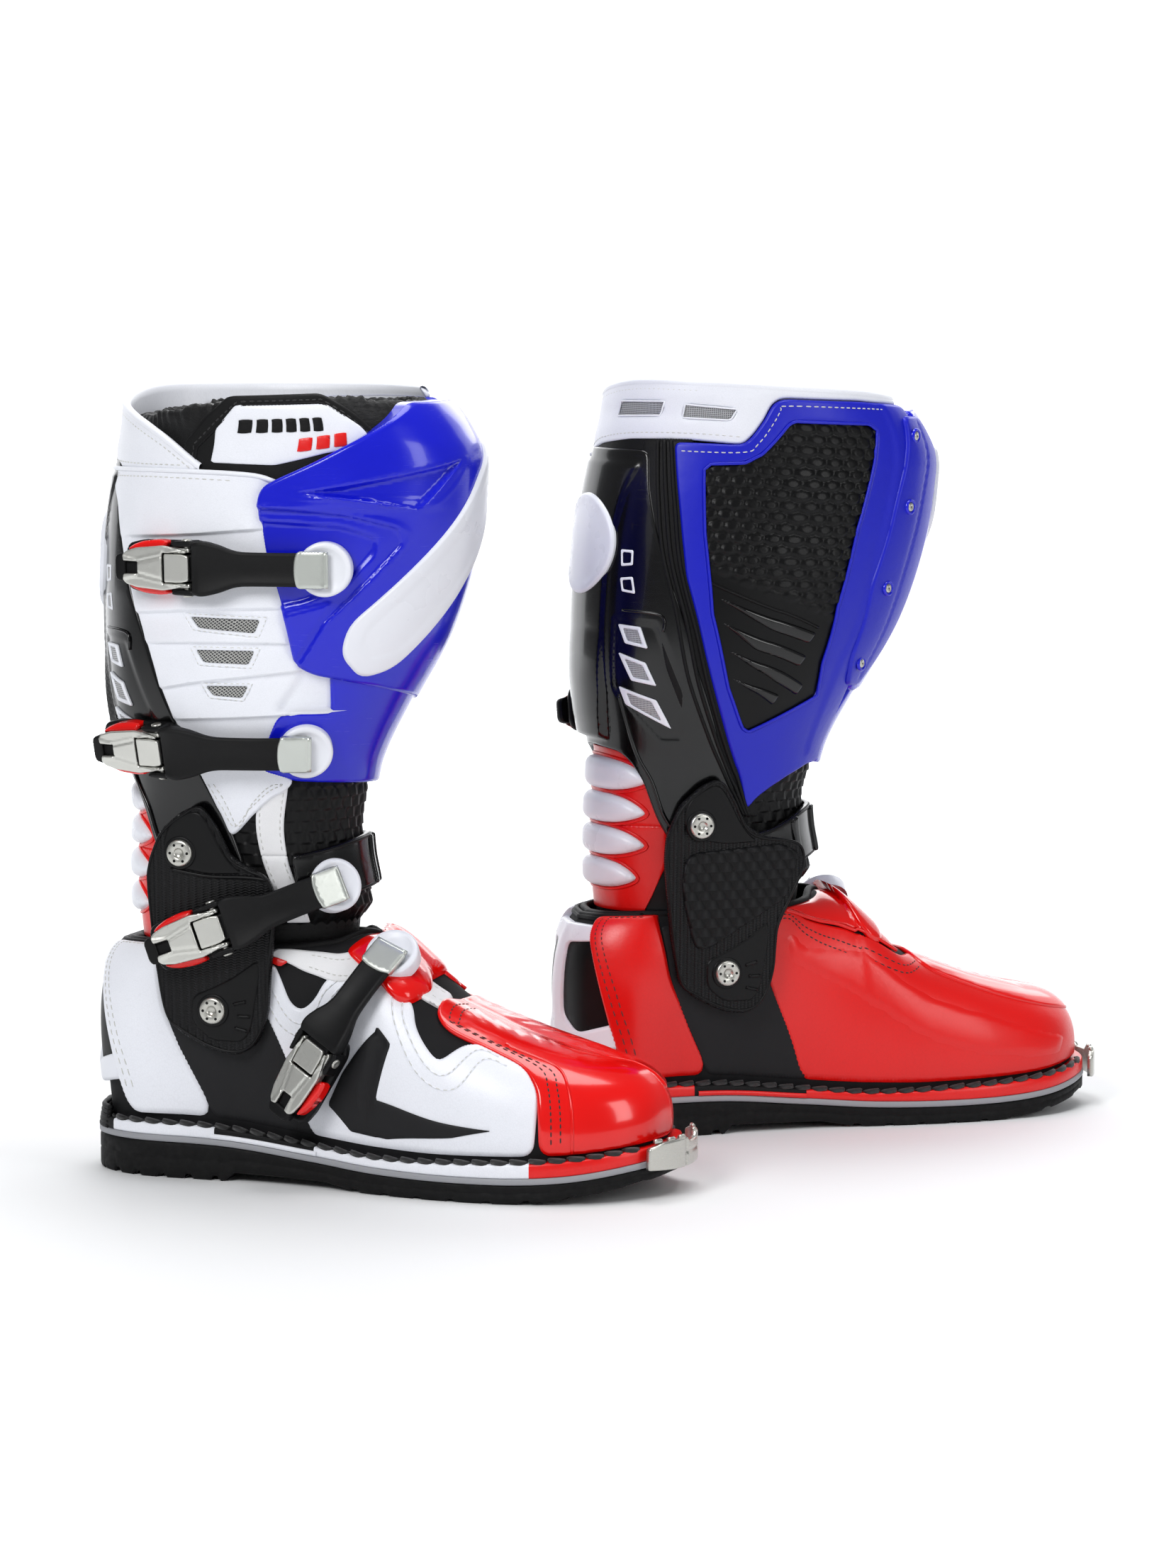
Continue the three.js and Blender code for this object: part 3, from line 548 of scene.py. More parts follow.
def stitches(chart, path, off=0.0, pitch=3.4, length=2.3, r=0.36, tilt=0.0, smooth_line=True, dive=0.5):
    """A row of thread stitches along a line on a form, each a small bowed capsule."""
    p = np.asarray(path, float) * chart.metric
    if smooth_line:
        p = curve_through(p)
    p = spaced(p, 0.5, False)
    s = run(p)
    count = max(1, int((s[-1] - length) / pitch))
    start = (s[-1] - count * pitch) / 2 + pitch / 2
    middle = start + np.arange(count) * pitch
    shares = np.array([-0.5, -0.38, -0.12, 0.12, 0.38, 0.5])
    size = np.array([0.25, 0.85, 1, 1, 0.85, 0.25])
    sink = np.array([-dive, -0.15, 0, 0, -0.15, -dive]) * r * 2
    t = middle[:, None] + shares * length
    q = np.stack([np.interp(t, s, p[:, k]) for k in (0, 1)], -1)
    q = q + across(q[:, -1] - q[:, 0])[:, None] * (tilt * length * shares)[None, :, None]
    a, b = q[..., 0] / chart.metric[0], q[..., 1] / chart.metric[1]
    o = (off(a, b) if callable(off) else off) + sink
    at, out = chart.at(a, b, o), chart.out(a, b, o)
    along = unit(at[:, -1:] - at[:, :1])
    side = np.cross(np.broadcast_to(along, at.shape), out)
    n = 6
    w = np.linspace(0, 2 * np.pi, n, endpoint=False)
    turn = np.cos(w)[:, None] * side[:, :, None] + np.sin(w)[:, None] * out[:, :, None]
    ring = at[:, :, None] + (size * r)[None, :, None, None] * turn
    one = []
    for i in range(5):
        one += [(i * n + k, i * n + (k + 1) % n, (i + 1) * n + (k + 1) % n, (i + 1) * n + k) for k in range(n)]
    one += [tuple(range(n))[::-1], tuple(5 * n + k for k in range(n))]
    one = [f[::-1] for f in one]
    faces = [tuple(i + c * 6 * n for i in f) for c in range(count) for f in one]
    uv = np.stack([np.repeat(t.ravel(), n), np.tile(np.arange(n) * r, t.size)], -1)
    return ring.reshape(-1, 3), faces, uv


def sheet(points, wrap=False, flip=False):
    """Faces over a grid of points, rows by columns."""
    r, c = points.shape[:2]
    faces = []
    for i in range(r - 1):
        for j in range(c if wrap else c - 1):
            k = (j + 1) % c
            f = (i * c + j, i * c + k, (i + 1) * c + k, (i + 1) * c + j)
            faces.append(f[::-1] if flip else f)
    return faces


def local(chart, a, b, off):
    """A flat chart standing on a point of another one."""
    at, out = chart.at(a, b, off), chart.out(a, b, off)
    along = chart.at(a + 0.01 / chart.metric[0], b, off) - at
    along = along - out * (along @ out)
    along /= np.linalg.norm(along)
    return frame_chart(dict(at=at, along=along, out=out, across=np.cross(out, along)))


def lathe(chart, profile, n, centre):
    """A turned form standing on a chart's point: profile as (radius, off)."""
    t = np.linspace(0, 2 * np.pi, n, endpoint=False)
    rows = []
    (ca, cb), (ka, kb) = centre, chart.metric
    for r, o in profile:
        rows.append(chart.at((ca * ka + r * np.cos(t)) / ka, (cb * kb + r * np.sin(t)) / kb, np.full(n, float(o))))
    p = np.array(rows)
    faces = sheet(p, wrap=True)
    last = len(profile) - 1
    faces.append(tuple(last * n + k for k in range(n)))
    up = chart.out(np.array(float(ca)), np.array(float(cb)), 0.0)
    v = p.reshape(-1, 3)
    f = faces[-1]
    nn = np.cross(v[f[1]] - v[f[0]], v[f[2]] - v[f[1]])
    if (nn * up).sum() < 0:
        faces = [q[::-1] for q in faces]
    return v, faces


# ------------------------------------------------------------------ materials, all procedural
# UVs are in millimetres along the form, so grain and weave have their real size.
def srgb(*rgb):
    """Linear colour of 0 to 255 screen values."""
    share = [c / 255 for c in rgb]
    return tuple((c / 12.92) if c <= 0.04045 else ((c + 0.055) / 1.055) ** 2.4 for c in share) + (1.0,)


class Nodes:
    """A material and short calls for its nodes."""

    def __init__(self, name):
        self.mat = bpy.data.materials.new(name)
        self.mat.use_nodes = True
        self.tree = self.mat.node_tree
        self.bsdf = self.tree.nodes["Principled BSDF"]
        self.uv = self.node("ShaderNodeUVMap", uv_map="UVMap").outputs[0]
        self.pos = self.node("ShaderNodeTexCoord").outputs["Object"]
        self.normal = None

    def feed(self, node, inputs):
        """Link each socket, and set each plain value on the input itself."""
        for k, v in dict(inputs).items():
            if isinstance(v, bpy.types.NodeSocket):
                self.tree.links.new(v, node.inputs[k])
            else:
                node.inputs[k].default_value = v
        return node

    def node(self, kind, inputs=(), **attrs):
        n = self.tree.nodes.new(kind)
        for k, v in attrs.items():
            setattr(n, k, v)
        return self.feed(n, inputs)

    def maths(self, op, a, b=0.0):
        return self.node("ShaderNodeMath", {0: a, 1: b}, operation=op).outputs[0]

    def times(self, a, b):
        return self.maths("MULTIPLY", a, b)

    def wave(self, value, period):
        return self.maths("SINE", self.times(value, 2 * math.pi / period))

    def mapped(self, scale=(1, 1, 1), turn=0.0):
        inputs = {"Vector": self.uv, "Scale": scale, "Rotation": (0, 0, turn)}
        return self.node("ShaderNodeMapping", inputs).outputs[0]

    def noise(self, scale, coords=None, detail=3.0, rough=0.5):
        inputs = {"Vector": coords or self.uv, "Scale": scale, "Detail": detail, "Roughness": rough}
        return self.node("ShaderNodeTexNoise", inputs).outputs[0]

    def cells(self, scale):
        inputs = {"Vector": self.uv, "Scale": scale, "Randomness": 1.0}
        return self.node("ShaderNodeTexVoronoi", inputs, feature="DISTANCE_TO_EDGE").outputs[0]

    def split(self, coords=None):
        n = self.node("ShaderNodeSeparateXYZ", {0: coords or self.uv})
        return n.outputs[0], n.outputs[1]

    def bump(self, height, strength=0.3, distance=0.0002):
        inputs = {"Height": height, "Strength": strength, "Distance": distance}
        if self.normal is not None:
            inputs["Normal"] = self.normal
        self.normal = self.node("ShaderNodeBump", inputs).outputs[0]

    def blend(self, factor, a, b):
        return self.node("ShaderNodeMix", {0: factor, 6: a, 7: b}, data_type="RGBA").outputs[2]

    def spread(self, value, lo, hi, to_lo=0.0, to_hi=1.0):
        return self.node("ShaderNodeMapRange", {0: value, 1: lo, 2: hi, 3: to_lo, 4: to_hi}).outputs[0]

    def done(self, color, rough, **sockets):
        names = {"metal": "Metallic", "coat": "Coat Weight", "coat_rough": "Coat Roughness",
                 "spec": "Specular IOR Level", "sheen": "Sheen Weight"}
        values = {"Base Color": color, "Roughness": rough, **{names[k]: v for k, v in sockets.items()}}
        if self.normal is not None:
            values["Normal"] = self.normal
        self.feed(self.bsdf, values)
        return self.mat


def shade(c, k):
    """The colour k times as bright."""
    return tuple(min(1.0, x * k) for x in c[:3]) + (1.0,)


DARK = 0.05     # linear value below which a colour counts as black


def dark(color):
    return max(color[:3]) < DARK


def worn(m, color, amount, light, low):
    """Colour with faint patches, and slightly rubbed raised edges."""
    patchy = m.spread(m.noise(0.035, detail=4), 0.35, 0.68)
    base = m.blend(patchy, shade(color, low + (1 - low) * 0.6), color)
    edge = m.spread(m.node("ShaderNodeNewGeometry").outputs["Pointiness"], 0.515, 0.58)
    edge = m.times(edge, m.spread(m.noise(0.5), 0.4, 0.7, 0, amount))
    return m.blend(edge, base, shade(color, light)), patchy


def gloss(name, color, rough=0.2, coat=0.6, light=1.3):
    m = Nodes(name)
    base, patchy = worn(m, color, 0.35, light, 0.9)
    m.bump(m.noise(0.25, detail=2), 0.05, 0.0004)
    m.bump(m.noise(3.0, detail=4), 0.05, 0.0001)
    scuff = m.spread(m.noise(1.0, m.mapped((0.05, 0.9, 1), 0.5), 5, 0.7), 0.55, 0.8)
    r = m.maths("ADD", m.spread(patchy, 0, 1, rough * 0.85, rough * 1.15), m.times(scuff, 0.12))
    return m.done(base, r, coat=coat, coat_rough=0.07, spec=0.35)


def satin(name, color, rough=0.45, light=1.6, grain=0.15):
    m = Nodes(name)
    base, patchy = worn(m, color, 0.45, light, 0.85 if dark(color) else 0.97)
    m.bump(m.noise(2.2, detail=5, rough=0.65), grain, 0.00025)
    return m.done(base, m.spread(patchy, 0, 1, rough - 0.05, rough + 0.07), spec=0.2 if dark(color) else 0.45)


def leather(name, color, rough=0.38, strength=0.22, scale=1.1, light=1.15, coat=0.15):
    m = Nodes(name)
    base, _ = worn(m, color, 0.4, light, 0.93)
    grain = m.cells(scale)
    m.bump(m.spread(grain, 0.0, 0.22), strength, 0.00012)
    m.bump(m.noise(0.12, detail=3), 0.16, 0.0012)
    # painted shade: the grain's creases, where the bump is lowest, are painted darker
    base = m.blend(m.spread(grain, 0, 0.1, 0.12, 0.0), base, shade(color, 0.6))
    rough_at = m.spread(grain, 0, 0.2, rough + 0.1, rough)
    return m.done(base, rough_at, coat=coat, coat_rough=0.25, spec=0.18 if dark(color) else 0.35)


def ribbed(name):
    """Black moulding with vertical ribs crossed by a fine weave."""
    m = Nodes(name)
    u, v = m.split()
    rib = m.wave(u, 4.2)
    fine = m.wave(m.maths("ADD", v, m.times(rib, 0.35)), 1.3)
    m.bump(m.spread(rib, -0.4, 0.9), 0.7, 0.0006)
    m.bump(fine, 0.35, 0.0002)
    # painted shade: the colour follows the rib height, darker in the grooves between the ribs and lighter on their
    # crests
    tone = m.blend(m.spread(rib, -1, 1), srgb(7, 7, 8), srgb(18, 18, 20))
    return m.done(tone, m.spread(fine, -1, 1, 0.34, 0.55), spec=0.22)


def scales(name, pitch, depth, low, high, rough):
    """Black rubber or leather embossed with overlapping scales."""
    m = Nodes(name)
    u, v = m.split()
    rows = m.maths("DIVIDE", v, pitch * 0.62)
    row = m.maths("FLOOR", rows)
    shift = m.times(m.maths("MODULO", m.maths("ABSOLUTE", row), 2.0), 0.5)
    x = m.maths("SUBTRACT", m.maths("FRACT", m.maths("ADD", m.maths("DIVIDE", u, pitch), shift)), 0.5)
    y = m.maths("SUBTRACT", rows, row)
    d = m.maths("ADD", m.times(m.times(x, x), 3.6), m.times(m.times(y, y), 0.8))
    h = m.spread(d, 0.0, 0.95, 1.0, 0.0)
    m.bump(h, 1.0, depth)
    m.bump(m.noise(2.4, detail=5), 0.25, 0.00025)
    # painted shade: the colour follows the scale height, the low colour in the gaps between scales and the high colour
    # on their raised middles
    return m.done(m.blend(h, low, high), m.spread(h, 0, 1, rough + 0.16, rough), spec=0.22)


def wire(name, metal_color, gap_color, pitch=1.15, frame_turn=math.pi / 4):
    """Woven wire or netting over a dark gap."""
    m = Nodes(name)
    u, v = m.split(m.mapped(turn=frame_turn))
    a = m.maths("ABSOLUTE", m.wave(u, 2 * pitch))
    b = m.maths("ABSOLUTE", m.wave(v, 2 * pitch))
    hole = m.maths("MINIMUM", a, b)
    mask = m.spread(hole, 0.42, 0.6)
    m.bump(m.spread(hole, 0.3, 0.7, 1, 0), 0.9, 0.0004)
    return m.done(m.blend(mask, metal_color, gap_color), m.spread(mask, 0, 1, 0.35, 0.8), metal=0.25)


def quilt(name):
    m = Nodes(name)
    base, patchy = worn(m, srgb(12, 12, 13), 0.3, 1.5, 0.8)
    m.bump(m.noise(1.0, m.mapped((0.25, 0.8, 1)), 4, 0.6), 0.5, 0.0009)
    u, v = m.split()
    m.bump(m.times(m.wave(u, 0.7), m.wave(v, 0.7)), 0.25, 0.00012)
    return m.done(base, m.spread(patchy, 0, 1, 0.42, 0.56), sheen=0.12, spec=0.2)


def brushed(name, color, rough=0.3, stretch=(0.35, 5.0, 1), turn=0.0):
    m = Nodes(name)
    streak = m.noise(1.2, m.mapped(stretch, turn), 5, 0.6)
    base, _ = worn(m, color, 0.3, 1.12, 0.88)
    m.bump(streak, 0.12, 0.00008)
    m.bump(m.noise(0.3), 0.08, 0.0003)
    return m.done(base, m.spread(streak, 0.3, 0.7, rough - 0.08, rough + 0.12), metal=0.88)


def rubber(name):
    """Dusty black tread rubber."""
    color, rough = srgb(11, 11, 12), 0.6
    m = Nodes(name)
    dust = m.spread(m.noise(0.09, detail=6, rough=0.7), 0.5, 0.78, 0, 0.35)
    base = m.blend(dust, color, srgb(38, 37, 36))
    m.bump(m.noise(1.6, detail=6, rough=0.7), 0.3, 0.0003)
    return m.done(base, m.spread(m.noise(0.3), 0.3, 0.7, rough - 0.07, rough + 0.1), spec=0.2)


def thread(name, color, rough=0.6):
    m = Nodes(name)
    u, v = m.split()
    twist = m.wave(m.maths("ADD", u, m.times(v, 1.4)), 0.8)
    m.bump(twist, 0.6, 0.0002)
    # painted shade: the thread is painted darker in the grooves of its twist and keeps its colour on the strands
    return m.done(m.blend(m.spread(twist, -1, 1), shade(color, 0.72), color), rough, sheen=0.2)


BLUE, RED, WHITE = srgb(16, 24, 200), srgb(232, 10, 6), srgb(238, 240, 247)
MAKE = {
    "blue": (gloss, BLUE, 0.22, 0.35, 1.5),
    "blue_leather": (leather, srgb(14, 24, 186), 0.36, 0.1, 1.6, 1.3, 0.15),
    "red": (gloss, RED, 0.17, 0.5, 1.15),
    "red_leather": (leather, srgb(228, 12, 8), 0.3, 0.06, 0.8, 1.12, 0.3),
    "white_leather": (leather, WHITE, 0.36, 0.1, 1.0, 1.03, 0.15),
    "white_plastic": (satin, srgb(234, 236, 243), 0.3, 1.05, 0.06),
    "piping": (leather, srgb(234, 234, 236), 0.45, 0.3, 1.5, 1.02, 0.05),
    "black_gloss": (gloss, srgb(5, 5, 6), 0.2, 0.35, 2.0),
    "black_plastic": (satin, srgb(13, 13, 14), 0.4, 1.7, 0.12),
    "black_leather": (leather, srgb(14, 14, 15), 0.5, 0.3, 1.1, 1.5, 0.02),
    "black_suede": (satin, srgb(20, 20, 22), 0.7, 1.3, 0.35),
    "charcoal": (satin, srgb(30, 30, 32), 0.55, 1.3, 0.2),
    "black_ribbed": (ribbed,),
    "black_scales": (satin, srgb(13, 13, 14), 0.42, 1.8, 0.35),
    # its darker colour is painted shade in the gaps between the scales, its lighter one the raised scales
    "black_pad": (scales, 8.0, 0.0012, srgb(6, 6, 7), srgb(20, 20, 22), 0.42),
    "black_rubber": (satin, srgb(9, 9, 10), 0.36, 1.6, 0.08),
    "wire": (wire, srgb(190, 190, 186), srgb(70, 70, 72)),
    "netting": (wire, srgb(205, 206, 208), srgb(120, 120, 122), 1.0, 0.0),
    "lining": (quilt,),
    "steel": (brushed, srgb(198, 197, 190), 0.3),
    "lever_steel": (brushed, srgb(214, 214, 208), 0.34, (0.5, 3.0, 1)),
    "hook_steel": (brushed, srgb(206, 210, 204), 0.36, (0.4, 4.0, 1), 1.2),
    "strap": (satin, srgb(17, 17, 18), 0.5, 1.8, 0.3),
    "rubber": (rubber,),
    "grey_strip": (satin, srgb(150, 151, 156), 0.5, 1.1, 0.1),
    "thread_white": (thread, srgb(236, 236, 232)),
    "thread_black": (thread, srgb(20, 20, 22)),
    "thread_red": (thread, srgb(120, 8, 6)),
    "cord_black": (thread, srgb(15, 15, 16), 0.45),
    # near black; under the buckle levers' slots and over the screw sockets it is painted shade
    "dark": (satin, srgb(6, 6, 7), 0.6, 1.2, 0.1),
}


def material(name):
    found = bpy.data.materials.get("look_" + name)
    if found is None:
        build, *args = MAKE[name]
        found = build("look_" + name, *args)
    return found


# ------------------------------------------------------------------ pieces of one boot
PIECES = []


def piece(name, body, slot, *replaces):
    PIECES.append(Piece(name, body, slot, replaces))
    return PIECES[-1]


SIDE_STATIONS = np.linspace(0, 1, 900)
ARC = {sign: run(foot(sign * SIDE_STATIONS, 0.0, 3.5)[:, :2]) for sign in (-1, 1)}


def arc_of(q):
    """Length along the sole's edge from the heel, below 0 on the lateral side, of a station."""
    q = np.asarray(q, float)
    return np.where(q < 0, -np.interp(-q, SIDE_STATIONS, ARC[-1]), np.interp(q, SIDE_STATIONS, ARC[1]))


def station_of(a):
    """The station at a length along the edge: arc_of turned round."""
    a = np.asarray(a, float)
    return np.where(a < 0, -np.interp(-a, ARC[-1], SIDE_STATIONS), np.interp(a, ARC[1], SIDE_STATIONS))


EDGE = Chart(lambda a, b, off: _sole(station_of(a), b, off), (1, 1))
sole_bottom = smooth([[140, 3.6], [158, 0.8], [180, 0], [232, 0], [262, 2.2], [290, 7], [318, 13]])


HEEL_END, ARCH_START, ARCH_END = 84, 89, 140


def bottom_at(x):
    """Underside of the sole: flat heel, a step up, the arch, and the forefoot with its toe spring."""
    arch = np.where(x < ARCH_START, 4.5 * (x - HEEL_END) / 5, 4.5 - 0.9 * (x - ARCH_START) / 51)
    return np.where(x < HEEL_END, 0, np.where(x < ARCH_END, arch, np.maximum(0, sole_bottom(x))))


def tread(x, y):
    """1 on a lug, 0 in a groove."""
    heel = (x > 12) & (x < 82)
    front = (x > 146) & (x < 304)
    phase = ((x + np.abs(y) * 0.45) / np.where(x < 100, 15.0, 19.0)) % 1
    lug = ramp((np.abs(phase - 0.5) - np.where(x < 100, 0.12, 0.09)) / 0.05)
    spine = ramp((np.abs(np.abs(y) - 15) - 2.2) / 1.0)
    return np.where(heel | front, np.minimum(lug, spine), 1.0)


def x_of(a):
    return base_x(np.abs(station_of(a)))


# outsole: treaded underside, wall with notched lower edge
sole = piece("outsole", "foot", "rubber", "outsole")
st = np.sin(np.linspace(0, np.pi, 210) - np.pi / 2) / 2 + 0.5
left_edge, right_edge = foot(-st, 0.0, 5.3), foot(st, 0.0, 5.3)
t = np.linspace(0, 1, 46)[None, :, None]
low = left_edge[:, None, :] * (1 - t) + right_edge[:, None, :] * t
low[..., 2] = bottom_at(low[..., 0]) + 2.6 * (1 - tread(low[..., 0], low[..., 1]))
sole.grid(low, "rubber", low[..., :2], flip=True)
top = left_edge[:, None, :] * (1 - t[:, ::9]) + right_edge[:, None, :] * t[:, ::9]
top[..., 2] = outsole_top(top[..., 0])
sole.grid(top, "rubber", top[..., :2])
LAT, MED = -ARC[-1][-1] + 1e-6, ARC[1][-1]    # ends of the edge at the toe
a_all = np.concatenate([np.linspace(LAT, 0, 420), np.linspace(0, MED, 420)[1:]])
rows = []
for share, off in ((0, 5.3), (0.05, 6.2), (0.12, 6.5), (0.5, 6.5), (0.55, 6.2), (0.6, 6.5), (0.9, 6.5), (0.96, 6.3),
                   (1, 5.6)):
    p = _sole(station_of(a_all), 0 * a_all, off)
    zb = bottom_at(p[:, 0]) + np.where(p[:, 0] < 100, 2.4, 1.1) * (1 - tread(p[:, 0], p[:, 1]))
    p[:, 2] = zb + (outsole_top(p[:, 0]) - zb) * share
    rows.append(p)
rows = np.array(rows)
sole.grid(rows, "rubber", np.stack([np.tile(a_all, len(rows)), rows[..., 2].ravel()], -1), flip=True)


def by_row(along, n):
    """UVs of n rows of points, 2 mm apart."""
    return np.stack([np.tile(along, n), np.repeat(np.arange(n) * 2.0, len(along))], -1)


def strip(p, a0, a1, mat, profile):
    """A band along the sole's edge with a profile of (off, height above a curve, curve)."""
    a = np.linspace(a0, a1, max(4, int(abs(a1 - a0) / 1.6)))
    grid = []
    for off, up, curve in profile:
        q = _sole(station_of(a), 0 * a, off)
        q[:, 2] = curve(q[:, 0]) + up
        grid.append(q)
    grid = np.array(grid)
    p.grid(grid, mat, by_row(a, len(grid)), flip=a1 > a0)


welt = piece("welt", "foot", "welt", "midsole")
grey = [(5.5, 0.0, outsole_top), (6.6, 0.3, outsole_top), (6.9, 1.0, outsole_top), (6.9, 2.6, outsole_top),
        (6.5, 3.3, outsole_top), (5.0, 3.5, outsole_top)]
strip(welt, LAT, 0, "grey_strip", grey)
strip(welt, 0, MED, "grey_strip", grey)
band = [(5.2, 3.3, outsole_top), (6.2, 3.6, outsole_top), (6.5, 4.4, outsole_top), (6.4, -1.4, welt_top),
        (6.0, -0.6, welt_top), (5.0, -0.25, welt_top), (-2.5, -0.2, welt_top)]
cuts = [(-1.0, -0.746, "red_leather"), (-0.746, -0.44, "white_leather"), (-0.44, -0.28, "black_leather"),
        (-0.28, -0.13, "white_leather"), (-0.13, 0.13, "black_leather"), (0.13, 0.25, "red_leather"),
        (0.25, 0.43, "black_leather"), (0.43, 1.0, "red_leather")]
for q0, q1, mat in cuts:
    a0, a1 = float(arc_of(q0)) if q0 > -1 else LAT, float(arc_of(q1)) if q1 < 1 else MED
    for s, e in ([(a0, 0), (0, a1)] if a0 < 0 < a1 else [(a0, a1)]):
        strip(welt, s, e, mat, band)
white_low = [(6.4, 3.5, outsole_top), (7.1, 3.8, outsole_top), (7.2, 5.6, outsole_top), (6.6, 6.1, outsole_top),
             (6.0, 6.2, outsole_top)]
strip(welt, float(arc_of(-0.445)), float(arc_of(-0.275)), "white_leather", white_low)
strip(welt, float(arc_of(0.255)), float(arc_of(0.43)), "red_leather", white_low)
for s in (-1, 1):
    line = [(s * a, float(welt_top(x_of(s * a))) + 0.4) for a in np.linspace(30, ARC[s][-1] - 24, 90)]
    welt.stitches(EDGE, line, "cord_black", off=5.0, pitch=9.7, length=9.6, r=1.7, tilt=0.14, smooth_line=False,
                  dive=0.75)
# ribbed black cap round the back of the heel
for k in range(5):
    z0 = 1.0 + 2.35 * k
    line = [(a, float(outsole_top(x_of(a))) + 3.2 + z0) for a in np.linspace(-31, 31, 24)]
    welt.tube(EDGE, line, "black_leather", off=5.6 - 0.35 * k, r=1.45, n=10)

# steel cap on the toe of the sole
guard = piece("toe_guard", "foot", "steel", "toe_guard")


def facets(a, b):
    beside = 0.9 * np.exp(-((np.abs(a) - 11.5) / 0.9) ** 2)
    return -beside - 0.7 * np.exp(-((b - 22.5) / 0.7) ** 2) * (np.abs(a) < 11)


guard.patch(CAP, [(-44, 16), (-43.5, 27), (-33, 29.5), (-10, 30), (-7, 27.5), (7, 27.5), (10, 30), (30, 29.5),
                  (38, 27), (38.5, 16), (24, 15.2), (-24, 15)], "steel", off=3.2, edge=0.9, res=1.0, relief=facets,
                  corner=1.2, step=0.9, closed=True)
for a in (-36, -25, -14, 14, 25):
    guard.tube(CAP, [(a - 2.6, 30.2), (a + 2.6, 30.2)], "steel", off=1.2, r=1.25, step=1, smooth_line=False)
for s in (-1, 1):
    guard.stitches(CAP, [(s * 27, 19), (s * 27, 26)], "dark", off=2.15, length=1.4, r=0.7, smooth_line=False)

# foot: base leather, rim, inside
upper = piece("foot_upper", "foot", "white_leather", "foot_upper")
q = np.concatenate([-np.linspace(1, 0, 170), np.linspace(0, 1, 170)[1:]])
v = np.linspace(0, 1, 46)
for off, mat, flip in ((0.0, "black_suede", False), (-3.4, "lining", True)):
    Q, V = np.meshgrid(q, v)
    g = foot(Q, V, off)
    if flip:
        g[0, :, 2] -= 2
    upper.grid(g, mat, np.stack([Q.ravel() * FOOT_LONG, V.ravel() * FOOT_HIGH], -1), flip=not flip)
floor_in = (foot(-st, 0.02, -2.5)[:, None] * (1 - t[:, ::9]) + foot(st, 0.02, -2.5)[:, None] * t[:, ::9])
upper.grid(floor_in, "lining", floor_in[..., :2])
rim = [(a, 1.0) for a in np.concatenate([-np.linspace(OPENING, 0, 40), np.linspace(0, OPENING, 40)[1:]])]
upper.tube(FOOT, rim, "black_leather", off=-1.6, r=2.3, n=12)
upper.tube(FOOT, [(a, 0.93) for a, _ in rim[27:-27]], "black_leather", off=0.6, r=1.7, n=10)
upper.tube(FOOT, [(a, 0.87) for a, _ in rim[29:-29]], "black_leather", off=0.3, r=1.5, n=10)

# panels of the foot
heel_out = lambda a, b: 1.7 + 3.1 * ramp((0.235 - np.abs(a)) / 0.06)
LOW = 0.015
heel_panel = [(0.098, 1.0), (0.086, 0.9), (0.085, 0.66), (0.12, 0.3), (0.14, 0.12), (0.16, LOW), (0.275, LOW),
              (0.248, 0.14), (0.216, 0.38), (0.2, 0.71), (0.19, 1.0)]
for s, mat, seam in ((-1, "white_leather", "thread_white"), (1, "red_leather", "thread_red")):
    upper.patch(FOOT, mirrored(heel_panel, s), mat, off=heel_out, drop=0.0, edge=1.3, res=2.4, corner=6)
    for gap in (0.014, 0.026):
        line = [(s * (a + gap), b) for a, b in [(0.09, 0.93), (0.086, 0.66), (0.12, 0.3), (0.14, 0.14), (0.15, 0.06)]]
        upper.stitches(FOOT, line, seam, off=lambda a, b: heel_out(a, b) + 0.05, pitch=3.2)
    line = [(s * a, 0.925) for a in (0.105, 0.13, 0.16, 0.185)]
    upper.stitches(FOOT, line, seam, off=lambda a, b: heel_out(a, b) + 0.05, pitch=3.2)
    waist = [(0.2, 0.75), (0.216, 0.38), (0.226, 0.26), (0.272, LOW), (0.44, LOW), (0.425, 0.1), (0.395, 0.2),
             (0.37, 0.33), (0.345, 0.5), (0.33, 0.75)]
    upper.patch(FOOT, mirrored(waist, s), "charcoal", off=1.1, drop=0.0, edge=0.9, res=3, corner=3)

# white leather over the outer forefoot, with its two cut-outs
white = [(-0.425, LOW), (-0.75, LOW), (-0.76, 0.38), (-0.745, 0.56), (-0.69, 0.62), (-0.668, 0.57), (-0.636, 0.4),
         (-0.624, 0.4), (-0.6, 0.48), (-0.597, 0.6), (-0.575, 0.66), (-0.53, 0.64), (-0.475, 0.64), (-0.452, 0.6),
         (-0.434, 0.48), (-0.412, 0.43), (-0.392, 0.47), (-0.374, 0.62), (-0.36, 0.74), (-0.35, 0.6), (-0.352, 0.42),
         (-0.392, 0.2), (-0.415, 0.08)]
upper.patch(FOOT, white, "white_leather", off=1.9, drop=0.0, edge=1.4, corner=4.5)
for pts in ([(-0.478, 0.6), (-0.452, 0.53), (-0.437, 0.43), (-0.413, 0.375), (-0.387, 0.415), (-0.366, 0.53)],
            [(-0.485, 0.56), (-0.462, 0.49), (-0.444, 0.385), (-0.414, 0.325), (-0.381, 0.36), (-0.36, 0.46)],
            [(-0.71, 0.55), (-0.684, 0.55), (-0.646, 0.34), (-0.615, 0.34), (-0.587, 0.46), (-0.583, 0.58)],
            [(-0.72, 0.5), (-0.692, 0.5), (-0.655, 0.28), (-0.606, 0.28), (-0.573, 0.43), (-0.569, 0.58)]):
    upper.tube(FOOT, pts, "white_leather", off=1.75, r=0.55)
    upper.stitches(FOOT, pts, "thread_white", off=2.25, pitch=3.0, length=2.0, r=0.3)
